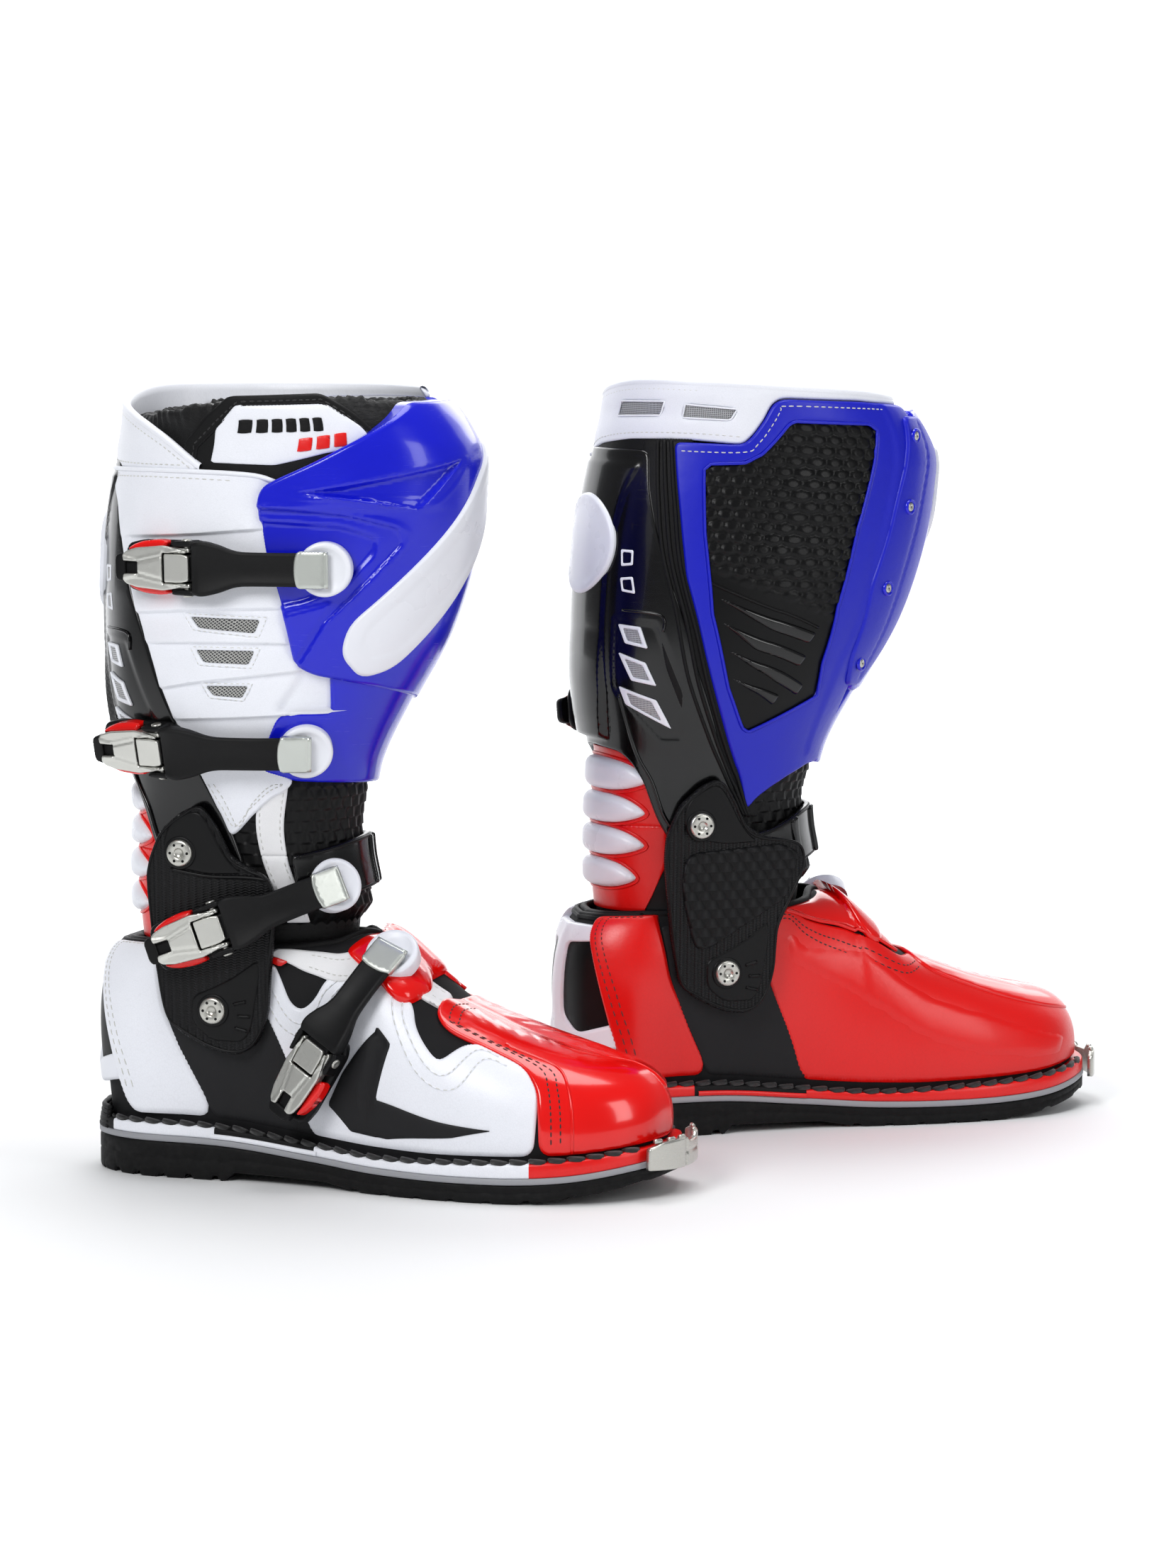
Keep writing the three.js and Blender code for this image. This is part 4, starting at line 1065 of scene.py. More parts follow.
# plain angular trim in dark rubber
trim = [(-0.548, 0.37), (-0.568, 0.33), (-0.543, 0.13), (-0.7, 0.115), (-0.65, 0.07), (-0.56, 0.035), (-0.5, 0.04),
        (-0.46, 0.1), (-0.487, 0.2)]
fold = plateau(FOOT, [(-0.548, 0.37), (-0.568, 0.33), (-0.541, 0.12), (-0.53, 0.05), (-0.515, 0.12)], 1.5)
upper.patch(FOOT, trim, "charcoal", off=2.9, drop=1.5, edge=0.7, res=1.8, corner=0.8,
            relief=lambda a, b: -0.7 * fold(a, b), step=1.2)

# piping from the ankle to the toe cap
up_edge = [(-0.362, 0.99), (-0.41, 0.87), (-0.476, 0.775), (-0.53, 0.76), (-0.58, 0.86), (-0.645, 0.995)]
lo_edge = [(-0.645, 0.76), (-0.58, 0.64), (-0.53, 0.555), (-0.47, 0.57), (-0.41, 0.66), (-0.352, 0.82)]
upper.patch(FOOT, up_edge + lo_edge, "piping", off=2.5, drop=0.0, edge=1.3, res=2.2, corner=4)
for shift in (-0.035, 0.035):
    mid = [((a[0] + b[0]) / 2, (a[1] + b[1]) / 2 + shift * 1.6) for a, b in zip(up_edge, lo_edge[::-1])]
    upper.stitches(FOOT, mid[1:], "thread_white", off=2.55, r=0.28)
# small plain tab at the end of the piping
upper.patch(FOOT, [(-0.362, 0.8), (-0.385, 0.745), (-0.373, 0.7), (-0.35, 0.755)], "red_leather", off=3.0, drop=1.0,
            edge=0.5, res=1.5, corner=0.8)

# inner side and toe cap, glossy red
inner = [(0.425, LOW), (0.995, LOW), (0.995, 0.8), (0.9, 0.95), (0.74, 0.96), (0.66, 0.85), (0.615, 0.62),
         (0.55, 0.55), (0.5, 0.6), (0.434, 0.72), (0.4, 0.9), (0.375, 0.93), (0.36, 0.85), (0.352, 0.67),
         (0.356, 0.42), (0.378, 0.26), (0.41, 0.1)]
upper.patch(FOOT, inner, "red_leather", off=1.7, drop=0.0, edge=1.3, corner=4)
for gap in (0.05, 0.1):
    upper.stitches(FOOT, [(0.378, 0.86 - gap), (0.4, 0.85 - gap), (0.434, 0.7 - gap), (0.5, 0.575 - gap),
                          (0.55, 0.53 - gap), (0.61, 0.58 - gap), (0.65, 0.75 - gap)], "thread_black", off=1.75,
                          pitch=3.2)
upper.tube(FOOT, [(0.39, 0.89), (0.434, 0.745), (0.5, 0.625), (0.55, 0.575), (0.613, 0.64)], "red_leather", off=2.1)
# raised plain panel along the inner side, in place of the lettering there
plain = plateau(FOOT, [(0.395, 0.66), (0.43, 0.52), (0.72, 0.36), (0.86, 0.2), (0.84, 0.08), (0.7, 0.12),
                       (0.55, 0.24), (0.4, 0.45)], 2.0)
upper.patch(FOOT, [(0.385, 0.69), (0.43, 0.55), (0.72, 0.39), (0.88, 0.22), (0.86, 0.06), (0.7, 0.09), (0.55, 0.21),
                   (0.39, 0.42)], "red_leather", off=1.55, drop=0.5, edge=0.2, res=2.2,
                   relief=lambda a, b: 0.9 * plain(a, b), corner=4)

toe = [(0.757, -0.985), (0.757, -0.62), (0.742, -0.47), (0.69, -0.41), (0.64, -0.4), (0.627, -0.34), (0.632, -0.16),
       (0.655, -0.02), (0.655, 0.03), (0.645, 0.2), (0.655, 0.36), (0.72, 0.42), (0.85, 0.52), (0.95, 0.6),
       (0.999, 0.62), (0.999, -0.985)]


def chevrons(a, b):
    """Five shallow bent grooves on the raised strip of the toe cap."""
    bars = 0.0
    for k in range(5):
        c = 0.675 + 0.028 * k
        d = np.abs(a - c - 0.055 * np.abs(b)) * FOOT_LONG
        bars = bars + ramp(1 - d / 1.3) * ramp((0.22 - np.abs(b)) / 0.05) * ramp((np.abs(b) - 0.04) / 0.04)
    edge = (ramp((0.33 - np.abs(b)) * FOOT_HIGH / 3) * ramp((a - 0.665) * FOOT_LONG / 3)
            * ramp((0.845 - a) * FOOT_LONG / 6))
    return 0.3 * edge - 0.5 * ramp(bars) * edge


upper.patch(RIDGE, toe, "red", off=2.9, drop=0.3, edge=1.7, res=1.9, relief=chevrons, corner=5)
for gap in (0.016, 0.028):
    upper.stitches(RIDGE, [(0.757 + gap, -0.96), (0.757 + gap, -0.62), (0.745 + gap, -0.46 + gap),
                           (0.69, -0.375 + gap), (0.652, -0.36 + gap), (0.63 + gap, -0.32), (0.635 + gap, -0.17),
                           (0.655 + gap, -0.02)], "thread_black", off=2.95, pitch=3.1)
upper.tube(RIDGE, [(0.8, -0.98), (0.8, -0.6), (0.785, -0.4), (0.72, -0.335)], "red", off=2.7, r=0.9)

# heel cup: white frame over two dark windows
cup = piece("heel_cup", "foot", "white_plastic", "heel_cup")
cup_line = [(0.165, 0.11), (0.14, 0.76), (0.06, 0.775), (0, 0.78), (-0.06, 0.775), (-0.14, 0.76), (-0.165, 0.11),
            (-0.06, 0.075), (0, 0.07), (0.06, 0.075)]
windows = [mirrored([(0.024, 0.22), (0.022, 0.6), (0.12, 0.63), (0.15, 0.2), (0.07, 0.155)], s) for s in (1, -1)]
cup.patch(FOOT, cup_line, "white_plastic", off=4.1, drop=0.4, edge=1.5, res=2.0, holes=windows, corner=4)
for w in windows:
    cup.patch(FOOT, w, "black_plastic", off=2.4, drop=0.3, edge=0.3, res=3)

# instep guard and its catch
instep = piece("instep_guard", "foot", "red_plastic", "instep_guard")
guard_line = [(0.478, -0.215), (0.52, -0.385), (0.572, -0.485), (0.594, -0.42), (0.62, -0.2), (0.616, 0),
              (0.605, 0.2), (0.592, 0.38), (0.57, 0.45), (0.553, 0.42), (0.546, 0.2), (0.538, 0.0), (0.512, -0.08)]
instep.patch(RIDGE, guard_line, "red", off=lambda a, b: 6.0 - 1.8 * ramp(b / 0.35), drop=0.6, edge=2.8, res=1.7,
             corner=6, step=1.3)
instep.patch(FOOT, [(0.39, 0.94), (0.434, 0.75), (0.5, 0.63), (0.55, 0.58), (0.61, 0.64), (0.615, 0.8),
                    (0.57, 0.975), (0.5, 0.985), (0.42, 0.985)], "red", off=2.3, drop=0.3, edge=1.2, res=2.4, corner=3)


# ------------------------------------------------------------------ ankle: gaiter with the ribbed heel flex
SPLIT = 167.5                   # height where its two halves meet, at the upper pivot
GAITER_MM_PER_DEGREE = 1.15     # the ankle is slimmer than the shaft


def in_front(angle):
    """0 over the heel flex at the back, 1 over the sides and the front."""
    return ramp((np.abs(((angle + 180) % 360) - 180) - 60) / 25)


def tuck(angle, z):
    """How far the gaiter draws in: into the shoe at the front, and under the shaft."""
    front = in_front(angle)
    return 7.0 * front * ramp((139 - z) / 8) + 2.2 * front * ramp((z - 198) / 10)


def gaiter_off(angle, z):
    """Woven scales over the front and sides, soft folds at the back."""
    front = in_front(angle)
    wide, high = 11.0, 5.6
    row = np.floor(z / high)
    x = (angle * GAITER_MM_PER_DEGREE / wide + 0.5 * (row % 2)) % 1 - 0.5
    y = (z / high) % 1
    scale = ramp(1 - 2.0 * np.abs(x) - 0.55 * y) ** 0.6
    return -1.0 + 0.7 * front + 1.5 * front * scale + 0.25 * np.sin(z / 2.6) * (1 - front) - tuck(angle, z)


GAITER_BENDS = {"low": ("foot", "ankle_brace", (80, 0, 118), (80, 0, 150)),
                "high": ("ankle_brace", "shaft", (80, 0, 176), (80, 0, 206))}
LENS = [(-1, -2.0), (-0.66, 5.6), (0, 7.9), (0.66, 5.6), (1, -2.0), (0.66, -6.9), (0, -8.0), (-0.66, -6.9)]
for part, z0, z1 in (("low", 112.0, SPLIT), ("high", SPLIT, 216.0)):
    g = piece("gaiter_" + part, None, "padding", *(["ankle_gaiter"] if part == "low" else []))
    A, Z = np.meshgrid(np.linspace(0, 360, 401), np.linspace(z0, z1, 70))
    p = shaft(A, Z, gaiter_off(A, Z))
    g.grid(p, "black_scales", np.stack([A.ravel() * GAITER_MM_PER_DEGREE, Z.ravel()], -1))
    g.grid(shaft(A, Z, -6.0), "lining", np.stack([A.ravel() * 1.1, Z.ravel()], -1), flip=True)
    half = [(36, 206), (50, 187), (59, SPLIT)] if part == "high" else [(59, SPLIT), (61, 150), (50, 130), (44, 121)]
    red_line = half + mirrored(half[::-1], -1)
    g.patch(SHAFT, red_line, "red_leather", off=0.3, drop=-3, edge=0.5, corner=0)
    centres = (193.2, 176.2) if part == "high" else (158.8, 141.3)
    for z in centres:
        wide = 46 if z > 150 else 40
        lens = [(wide * a, z + up) for a, up in LENS]
        g.patch(SHAFT, lens, "white_plastic", off=lambda a, b: 5.4 - 2.0 * np.abs(a / 46.0) ** 2, drop=-0.5,
                edge=5.2, res=1.6, smooth_line=True, step=1.4)
        g.tube(SHAFT, [(a * 1.04, z + (b - z) * 1.12) for a, b in lens], "red_leather", off=0.5, r=0.8, closed=True)
    # white piping down the outer side, with its two rows of stitches
    edge_at = smooth([[112, 126], [130, 118], [150, 112], [168, 108], [190, 106], [216, 110]])
    width = smooth([[112, 14], [150, 13], [190, 15], [216, 14]])
    zz = np.linspace(max(z0, 133.0), z1, 14)
    line = [(float(edge_at(z)), z) for z in zz] + [(float(edge_at(z) + width(z)), z) for z in zz[::-1]]
    g.patch(SHAFT, line, "piping", off=lambda a, b: 2.0 - 0.6 * tuck(a, b), drop=-1.5, edge=0.9, res=2.0, corner=0)
    for gap in (2.0, -2.2):
        rowline = [(float(edge_at(z)) + (gap if gap > 0 else float(width(z)) + gap), z) for z in zz]
        g.stitches(SHAFT, rowline, "thread_white", off=lambda a, b: 2.05 - 0.6 * tuck(a, b), r=0.28)
    g.bend = GAITER_BENDS[part]

# ankle plates
PLATE_REAR = [(112, 112), (110, 88), (104, 72), (94, 66), (80, 68), (64, 76), (55, 84), (50, 110), (46, 150),
              (47, 164), (54, 180), (66, 190), (76, 194), (84, 184), (92, 168)]
FRONT = {"lateral": [(102, 162), (111, 158), (115, 148), (114, 130)],
         "medial": [(102, 162), (124, 158), (128, 146), (120, 128)]}
band_height = smooth([[112, 152], [140, 157], [180, 162], [220, 160], [250, 152], [265, 149]])
band_off = smooth([[112, 2.6], [210, 2.6], [240, 5.4], [255, 7.4], [265, 8]])


def on_band(angles, up):
    """A line along the strap band, up millimetres over its middle."""
    return [(a, float(band_height(a)) + up) for a in angles]


for side, chart in PLATE.items():
    p = piece(f"{side}_ankle_plate", "ankle_brace", "black_plastic", f"{side}_ankle_plate")
    outline = PLATE_REAR + FRONT[side]
    bores = [circle(*c, 3.4, 16) for c in (LOWER_PIVOT, UPPER_PIVOT)]
    rim_in = plateau(chart, outline, 2.6)
    p.patch(chart, outline, "black_ribbed", off=3.5, drop=0.0, edge=1.2, res=2.0, holes=bores, corner=4, closed=True,
            relief=lambda a, b: -0.5 * rim_in(a, b))
    p.tube(chart, np.array(outline) * 0.965 + np.array([2.9, 4.6]), "black_plastic", off=3.0, r=0.75, closed=True)
    upper_shield = [(60, 162), (55.5, 172), (59, 183), (67, 188.5), (75.5, 191), (81, 184), (87, 172), (93, 163.5),
                    (99, 159), (80, 158.5)]
    lower_shield = [(70, 96), (70, 82), (80, 73.5), (97, 73), (101.5, 80), (106, 106), (106, 116), (92, 106),
                    (80, 100)]
    for shield, hole in ((upper_shield, bores[1]), (lower_shield, bores[0])):
        p.patch(chart, shield, "black_plastic", off=3.8, drop=2.4, res=1.8, corner=4, holes=[hole], step=1.3)
    for k, (x, z) in enumerate(((92.5, 92.5), (94.5, 86.5), (93, 80.5))):
        p.tube(chart, [(x, z), (x + 6.5, z + (1.6 - k * 1.6))], "black_plastic", off=3.8, r=0.9, step=1.2,
               smooth_line=False)
    if side == "medial":
        p.patch(chart, [(57, 151), (62, 154.5), (113, 157.5), (124, 152), (116, 128), (70, 102), (63, 103),
                        (58, 121), (55, 138)], "black_pad", off=4.5, drop=2.6, edge=1.5, res=2.2, corner=4)
        # the strap band that runs from this plate round the front
        angles = np.linspace(124.5, 266, 60)
        line = on_band(angles, 13.3) + on_band(angles[::-1], -13.3)
        p.patch(SHAFT, line, "black_gloss", off=lambda a, b: band_off(a) + 2.7, drop=lambda a, b: band_off(a),
                edge=1.2, corner=3.5, closed=True)
        for a0, a1, up in ((229, 235, 1.5), (199, 206, 2.2), (186, 190, 1.6)):
            line = on_band([a0], -12.6) + on_band([a0, a1], 12.6) + on_band([a1], -12.6)
            p.patch(SHAFT, line, "black_gloss", off=lambda a, b, up=up: band_off(a) + 2.6 + up,
                    drop=lambda a, b: band_off(a) + 1, edge=1.4, res=1.6, corner=1.5)
        for z in (-12.0, 12.0):
            p.tube(SHAFT, on_band(np.linspace(128, 262, 50), z), "black_plastic", off=lambda a, b: band_off(a) + 2.3,
                   r=0.8)
    else:
        p.tube(chart, [(60, 160.5), (80, 157.5), (100, 157.5), (111, 156.5)], "black_plastic", off=3.3, r=0.95)


# ------------------------------------------------------------------ shaft
def rear_angle(y, z):
    """Angle on the shaft form of a point y millimetres to the side, seen from behind."""
    return -np.sign(y) * np.degrees(np.arcsin(ramp(np.abs(y) / shaft_half(z)) ** (POWER / 2)))


REAR = Chart(lambda a, b, off: shaft(rear_angle(a, b), b, off), (1, 1))
right_half = [(24, 205), (33, 200), (42, 190), (54, 170), (64, 156), (78, 149), (92, 152), (100, 162), (96.5, 176),
              (88, 197), (83, 210), (77.5, 226), (73, 238), (66, 256), (59, 276), (49, 302), (41, 328), (36, 346),
              (32, 366)]
rear = piece("rear_shell", "shaft", "black_plastic", "shaft_shell")
shell_line = [(0, 207)] + right_half + mirrored(right_half[::-1], -1)
spine = plateau(SHAFT, [(-30, 360), (30, 360), (24, 340), (19, 300), (20, 236), (17, 210), (-17, 210), (-20, 236),
                        (-19, 300), (-24, 340)], 2.2)
dip = [plateau(SHAFT, mirrored([(25, 278), (47, 276), (63, 240), (64, 213), (52, 212), (25, 238)], s),
               2.5) for s in (1, -1)]
rear.patch(SHAFT, shell_line, "black_gloss", off=3.6, drop=-1.2, edge=1.6, res=2.0, corner=5,
           relief=lambda a, b: (1.1 + 3.6 * ramp((268 - b) / 45)) * spine(a, b) - 0.9 * dip[0](a,
                   b) - 0.9 * dip[1](a, b))
SLOTS = [[(27.5, 313), (34, 313), (34.5, 305), (28.5, 304)], [(28.5, 298), (35, 299), (37, 290), (30, 290.8)],
         [(29.5, 273.5), (41, 272.8), (45.5, 261.5), (34, 263.5)], [(30.5, 258.5), (45, 254), (51, 242), (38, 244)],
         [(30.5, 240.5), (51, 234.5), (59, 219.5), (34, 231)]]
for s in (1, -1):
    for slot in SLOTS:
        line = mirrored([(a - 1.5, z) for a, z in slot], s)
        inner_line = grown(line, 0.66)
        rear.patch(SHAFT, line, "white_plastic", off=4.1, drop=2.2, edge=0.6, res=1.4, holes=[inner_line],
                   corner=0.7, step=1.0)
        rear.patch(SHAFT, inner_line, "netting", off=3.4, drop=2, edge=0.1, res=2, corner=0.4)
    rear.tube(SHAFT, mirrored([(29, 236), (37, 206), (48, 190), (58, 172), (68, 161)], s), "black_gloss", off=3.8,
              r=1.1)
    rear.tube(SHAFT, mirrored([(30, 281), (48, 279.5), (50, 271)], s), "black_gloss", off=4.0, r=0.8)
dish = plateau(REAR, circle(0, 314.5, 23.5, 48), 1.2)
rear.patch(REAR, circle(0, 314.5, 27, 72), "white_plastic", off=6.8, drop=3.5, edge=1.8, res=2.4, corner=0,
           relief=lambda a, b: -0.6 * dish(a, b))

# soft band between the rear shell and the inner frame, with its cords
seam_band = piece("seam_band", "shaft", "black_leather")
shell_front = [(-32, 371), (-36, 346), (-41, 318), (-47, 295), (-58, 252), (-72, 218), (-86, 192), (-95, 175)]
frame_rear = [(-43, 372), (-49.5, 339.5), (-56.5, 300.5), (-68.5, 262), (-78.5, 233), (-88, 207.5), (-97, 183),
              (-101, 173.5)]
seam_band.patch(SHAFT, [(a + 5, z) for a, z in shell_front] + [(a - 5, z) for a, z in frame_rear[::-1]],
                "black_leather", off=3.0, drop=-1.5, edge=0.6, res=2.8, corner=3)
for share, r in ((0.28, 1.1), (0.55, 1.2), (0.82, 1.1)):
    seam_band.tube(SHAFT, [(a + (c - a) * share, z + (d - z)
                            * share) for (a, z), (c, d) in zip(shell_front, frame_rear)], "black_leather", off=3.4,
                            r=r)
seam_band.patch(SHAFT, [(36, 366), (37, 372), (0, 377), (-20, 379), (-50, 379), (-50, 368), (-34, 364), (0, 352)],
                "black_leather", off=2.2, drop=-1.5, edge=0.6, res=3, corner=1)

# white folded panel on the outer side
plate_edge = smooth([[200, 108], [240, 111], [262, 116], [275, 109], [315, 98], [345, 93], [390, 98]])
screw_edge = smooth([[200, 214], [245, 222], [300, 224], [345, 222], [390, 214]])
lateral = piece("lateral_panel", "shaft", "white_leather", "lateral_panel")
FOLDS = [smooth([[30, 327], [74.5, 329.8], [100, 334]]), smooth([[40, 288], [83.5, 292.5], [112, 294]]),
         smooth([[50, 274.5], [85, 276.5], [118, 276.5]]), smooth([[60, 250], [92, 258.3], [122, 264]]),
         smooth([[66, 236], [94, 238.2], [122, 240.5]])]


def folded(a, b):
    """Overlapping folds: each swells towards its lower edge and then steps back."""
    h = 0.0
    tops = [lambda a: 0 * a + 361.0] + FOLDS
    for k in range(len(FOLDS)):
        up, low = tops[k](a), FOLDS[k](a)
        t = (up - b) / np.maximum(1.0, up - low)
        inside = (t >= 0) & (t < 1)
        swell = ramp(t) ** 1.6 * (1 - ramp((t - 0.955) / 0.045) ** 2)
        fade = np.clip((a - (41 + k * 7)) / 10, 0.12, 1)
        h = h + np.where(inside, (2.6 if k == 0 else 2.3) * swell * fade, 0)
    covered = ramp((a - plate_edge(b) + 1.5) / 3.5) * (b > 243)
    return h * (1 - covered) - 1.6 * covered


white_side = [(17, 362.5), (60, 362.8), (90, 361), (100, 357), (101, 345), (104, 320), (112, 295), (119, 277),
              (123, 262), (150, 254), (150, 240), (120, 228), (117, 212), (125.5, 206), (121, 201), (114.5, 197.8),
              (109, 193), (103.5, 187.2), (98, 180), (94, 177), (91, 186), (84, 206), (78, 224), (73, 238),
              (66, 256), (59, 276), (49, 302), (40, 328), (34, 345)]
vents = [[(75.5, 290.6), (99.5, 289.4), (98.5, 280), (79.5, 283)],
         [(79, 274), (99.5, 274), (98.5, 264.4), (83, 265.4)], [(84.5, 255.6), (100, 256), (98.5, 247.6), (88, 248.8)]]
guides = []
for k, f in enumerate(FOLDS):
    there, back = np.linspace(44 + 6 * k, 116, 14), np.linspace(116, 44 + 6 * k, 14)
    guides.append(([(x, float(f(x)) + 1.2) for x in there] + [(x, float(f(x)) - 0.6) for x in back], 0.5))
lateral.patch(SHAFT, white_side, "white_leather", off=3.6, drop=-1.5, edge=1.5, res=1.9, corner=4, relief=folded,
              holes=vents, guides=guides)
for w in vents:
    ring_in, seam = grown(w, 0.86, 0.72), grown(w, 1.04, 1.06)
    lateral.patch(SHAFT, grown(w, 1.1, 1.2), "white_leather", off=lambda a, b: 4.1 + folded(a, b) * 0.75, drop=2,
                  edge=0.8, res=1.5, holes=[ring_in], corner=1.2, step=1.0)
    lateral.patch(SHAFT, ring_in, "wire", off=lambda a, b: 2.7 + folded(a, b) * 0.75, drop=1, edge=0.1, res=2.5,
                  corner=0.6)
    lateral.stitches(SHAFT, seam + seam[:1], "thread_white", off=lambda a, b: 4.1 + folded(a, b) * 0.75, pitch=2.4,
                     length=1.5, r=0.22, smooth_line=False)
lateral.tube(SHAFT, [(18, 361.5), (60, 361.8), (88, 360.6), (97, 357)], "white_leather", off=3.6, r=1.2)
lateral.stitches(SHAFT, [(20, 358), (60, 358.4), (88, 357.2)], "thread_white", off=3.65, pitch=3.2, r=0.3)
for gap in (2.2, 4.4):
    lateral.stitches(SHAFT, [(83.5 + gap, 206), (89 + gap, 192), (94.5 + gap * 0.9, 182.5),
                             (103 + gap * 0.3, 190 + gap), (113, 199 + gap), (121, 204.5)], "thread_white", off=3.7,
                             pitch=3.2, r=0.28)

# inner side: blue frame around a studded rubber panel
medial = piece("medial_frame", "shaft", "blue_plastic", "medial_panel")
frame_line = [(317.5, 371), (311, 339.5), (304, 300.5), (292, 262), (282, 233), (272.5, 207.5), (262, 177),
              (257.5, 184), (250, 190), (240, 196), (225, 202), (212, 203), (212, 222), (219, 246), (221, 300),
              (219, 345), (213, 380), (216, 397), (246, 397.5), (275.5, 396.5), (279.5, 393), (288, 375.5),
              (291, 371.5)]
panel_line = [(303.5, 357.5), (301.5, 360.5), (289.5, 362), (284, 367.2), (275.5, 383), (273.5, 385.2), (246, 386),
              (243, 383), (246, 372), (250, 330), (250, 288), (246, 258), (240, 240), (268.5, 219.5), (270.5, 221.8),
              (279.5, 242.8), (292, 281.8), (299.5, 324.5)]
crest = plateau(SHAFT, [(236, 400), (240, 330), (239, 260), (231, 205), (205, 200), (205, 400)], 5)
medial.patch(SHAFT, frame_line, "blue_leather", off=4.3, drop=-1.5, edge=1.6, res=2.4, corner=4, holes=[panel_line],
             relief=lambda a, b: 1.1 * crest(a, b))


def studs(a, b):
    """Rows of small rubber scales, fading out below a slanting line."""
    pitch = 7.4
    row = np.floor(b / (pitch * 0.8))
    x = (a * MM_PER_DEGREE / pitch + 0.5 * (row % 2)) % 1 - 0.5
    y = (b / (pitch * 0.8)) % 1 - 0.5
    d = np.sqrt(x * x + 0.8 * y * y)
    fade = ramp((b - 282 - 0.55 * (a - 255)) / 5)
    lift = ramp((0.5 - d) / 0.16) * (0.55 + 0.9 * ramp(0.5 - y))
    return 1.25 * lift * fade


medial.patch(SHAFT, panel_line, "black_rubber", off=2.8, drop=1, edge=0.6, res=1.05, corner=3, relief=studs)
medial.tube(SHAFT, panel_line, "blue_leather", off=4.0, r=0.9, closed=True, smooth_line=False)
medial.tube(SHAFT, [(297, 299.5), (255, 277)], "black_plastic", off=3.2, r=0.8)
for ridge in ([(292, 291.5), (267.5, 279.5), (254.5, 274)], [(288, 278), (272, 269.8), (254.5, 261.5)],
              [(284, 263.8), (262, 253), (250, 246)], [(279.5, 248.8), (259.5, 240.2)]):
    wedge = ridge + [(a + 1.5, z - 6.0) for a, z in ridge[::-1][:-1]]
    medial.patch(SHAFT, wedge, "black_gloss", off=4.3, drop=2, edge=1.8, res=1.6, corner=1.5)
medial.stitches(SHAFT, [(316, 366.5), (291, 367.5), (285.5, 373), (277.5, 390), (274.5, 393), (246, 394),
                        (222, 394)], "thread_white", off=4.35, pitch=3.3, length=2.4, r=0.33)


# shin plate over the front
def shin_off(a, z):
    """Height of the plate over the shaft form, crowned along its ridge."""
    s = (a - plate_edge(z)) / (screw_edge(z) - plate_edge(z))
    return 6.9 + 3.4 * np.maximum(0, 1 - np.sqrt((s - 0.58) ** 2 + 0.003) / 0.42)


shin = piece("shin_plate", "shaft", "blue_plastic", "shin_plate")
shin_line = [(93.5, 353.8), (97.5, 358.2), (118, 374), (153, 395.8), (185, 396.5), (214, 394), (221, 345),
             (223, 300), (221, 245), (213, 242), (197, 243.5), (144, 255.5), (121.5, 260.8), (113, 266),
             (109, 277.2), (103.5, 295.2), (96.5, 320), (93, 343.2)]
deep = plateau(SHAFT, [(104.5, 351.8), (167, 368), (146, 342.5)], 2.2)
ledge = plateau(SHAFT, [(103, 349.5), (146, 342.5), (150, 348), (125, 351)], 1.5)
bevel = plateau(SHAFT, [(84, 345.8), (120, 341.0), (139, 334.5), (142, 326), (128, 301), (119.5, 286), (113, 256),
                        (84, 256)], 1.1)
scoop = plateau(SHAFT, [(84, 339), (119, 335.6), (132.5, 329.8), (132.5, 321.5), (124, 305.5), (111, 297),
                        (100, 293.5), (84, 296)], 1.6)
wedge = plateau(SHAFT, [(102, 290.5), (121.5, 298.5), (117, 284), (112.5, 262), (98, 262)], 1.4)
lip = crease(SHAFT, [(93, 345.2), (120, 341.6), (139, 335.2), (143.5, 326.5), (130, 302), (120.5, 286)], 0.9)
edges = crease(SHAFT, [(103, 352.5), (167.5, 369), (146.5, 341.6), (103, 350)], 0.8)


def shin_relief(a, b):
    upper = ramp((b - 342) / 3) * ramp((160 - a) / 30)
    return (1.4 * upper - 3.0 * deep(a, b) + 1.1 * ledge(a, b) - 1.5 * bevel(a, b) - 1.9 * scoop(a,
            b) + 0.8 * wedge(a, b) + 0.35 * lip(a, b) + 0.2 * edges(a, b))


shin.patch(SHAFT, shin_line, "blue", off=shin_off, drop=-0.8, edge=1.8, res=1.45, corner=5, relief=shin_relief,
           guides=[([(104.5, 351.8), (167, 368), (146, 342.5)], 1.1),
                   ([(92, 345), (120, 340.8), (138.5, 334.5), (141.5, 326), (128, 301), (119, 286), (113, 266),
                     (104, 280)], 0.9)])
band_line = [(128, 262), (150, 262), (212, 250), (216, 225), (214, 203), (197, 201.5), (152, 204.5), (126, 206),
             (109.5, 211.2), (108.5, 216.5), (110.5, 228.5), (112.5, 239.5), (117, 241.4), (136, 241.2)]
shin.patch(SHAFT, band_line, "blue", off=lambda a, b: shin_off(a, b) - 2.2, drop=-0.8, edge=1.8, res=2.4, corner=4)
strip_line = [(224, 391), (231, 372), (235, 345), (238, 300), (233, 262), (225, 246), (212, 245), (207, 262),
              (206, 300), (205, 345), (200, 378), (206, 392)]
groove = crease(SHAFT, [(213, 388), (219, 345), (221, 300), (217, 250)], 0.8)
strip_off = lambda a, b: np.maximum(shin_off(a, b), 6.3) + 0.8 - 0.09 * np.maximum(0, a - 224)
shin.patch(SHAFT, strip_line, "blue_leather", off=strip_off, drop=3, edge=1.6, res=2.0, corner=5,
           relief=lambda a, b: -0.8 * groove(a, b))
lozenge = [(198, 378), (202, 366), (198, 340), (154, 263), (141, 258.5), (128.5, 271), (128, 286), (182, 364)]
hollow = plateau(SHAFT, [(194, 366), (196, 345), (153, 271), (141, 267), (134, 274), (134, 285), (184, 358)], 2.5)
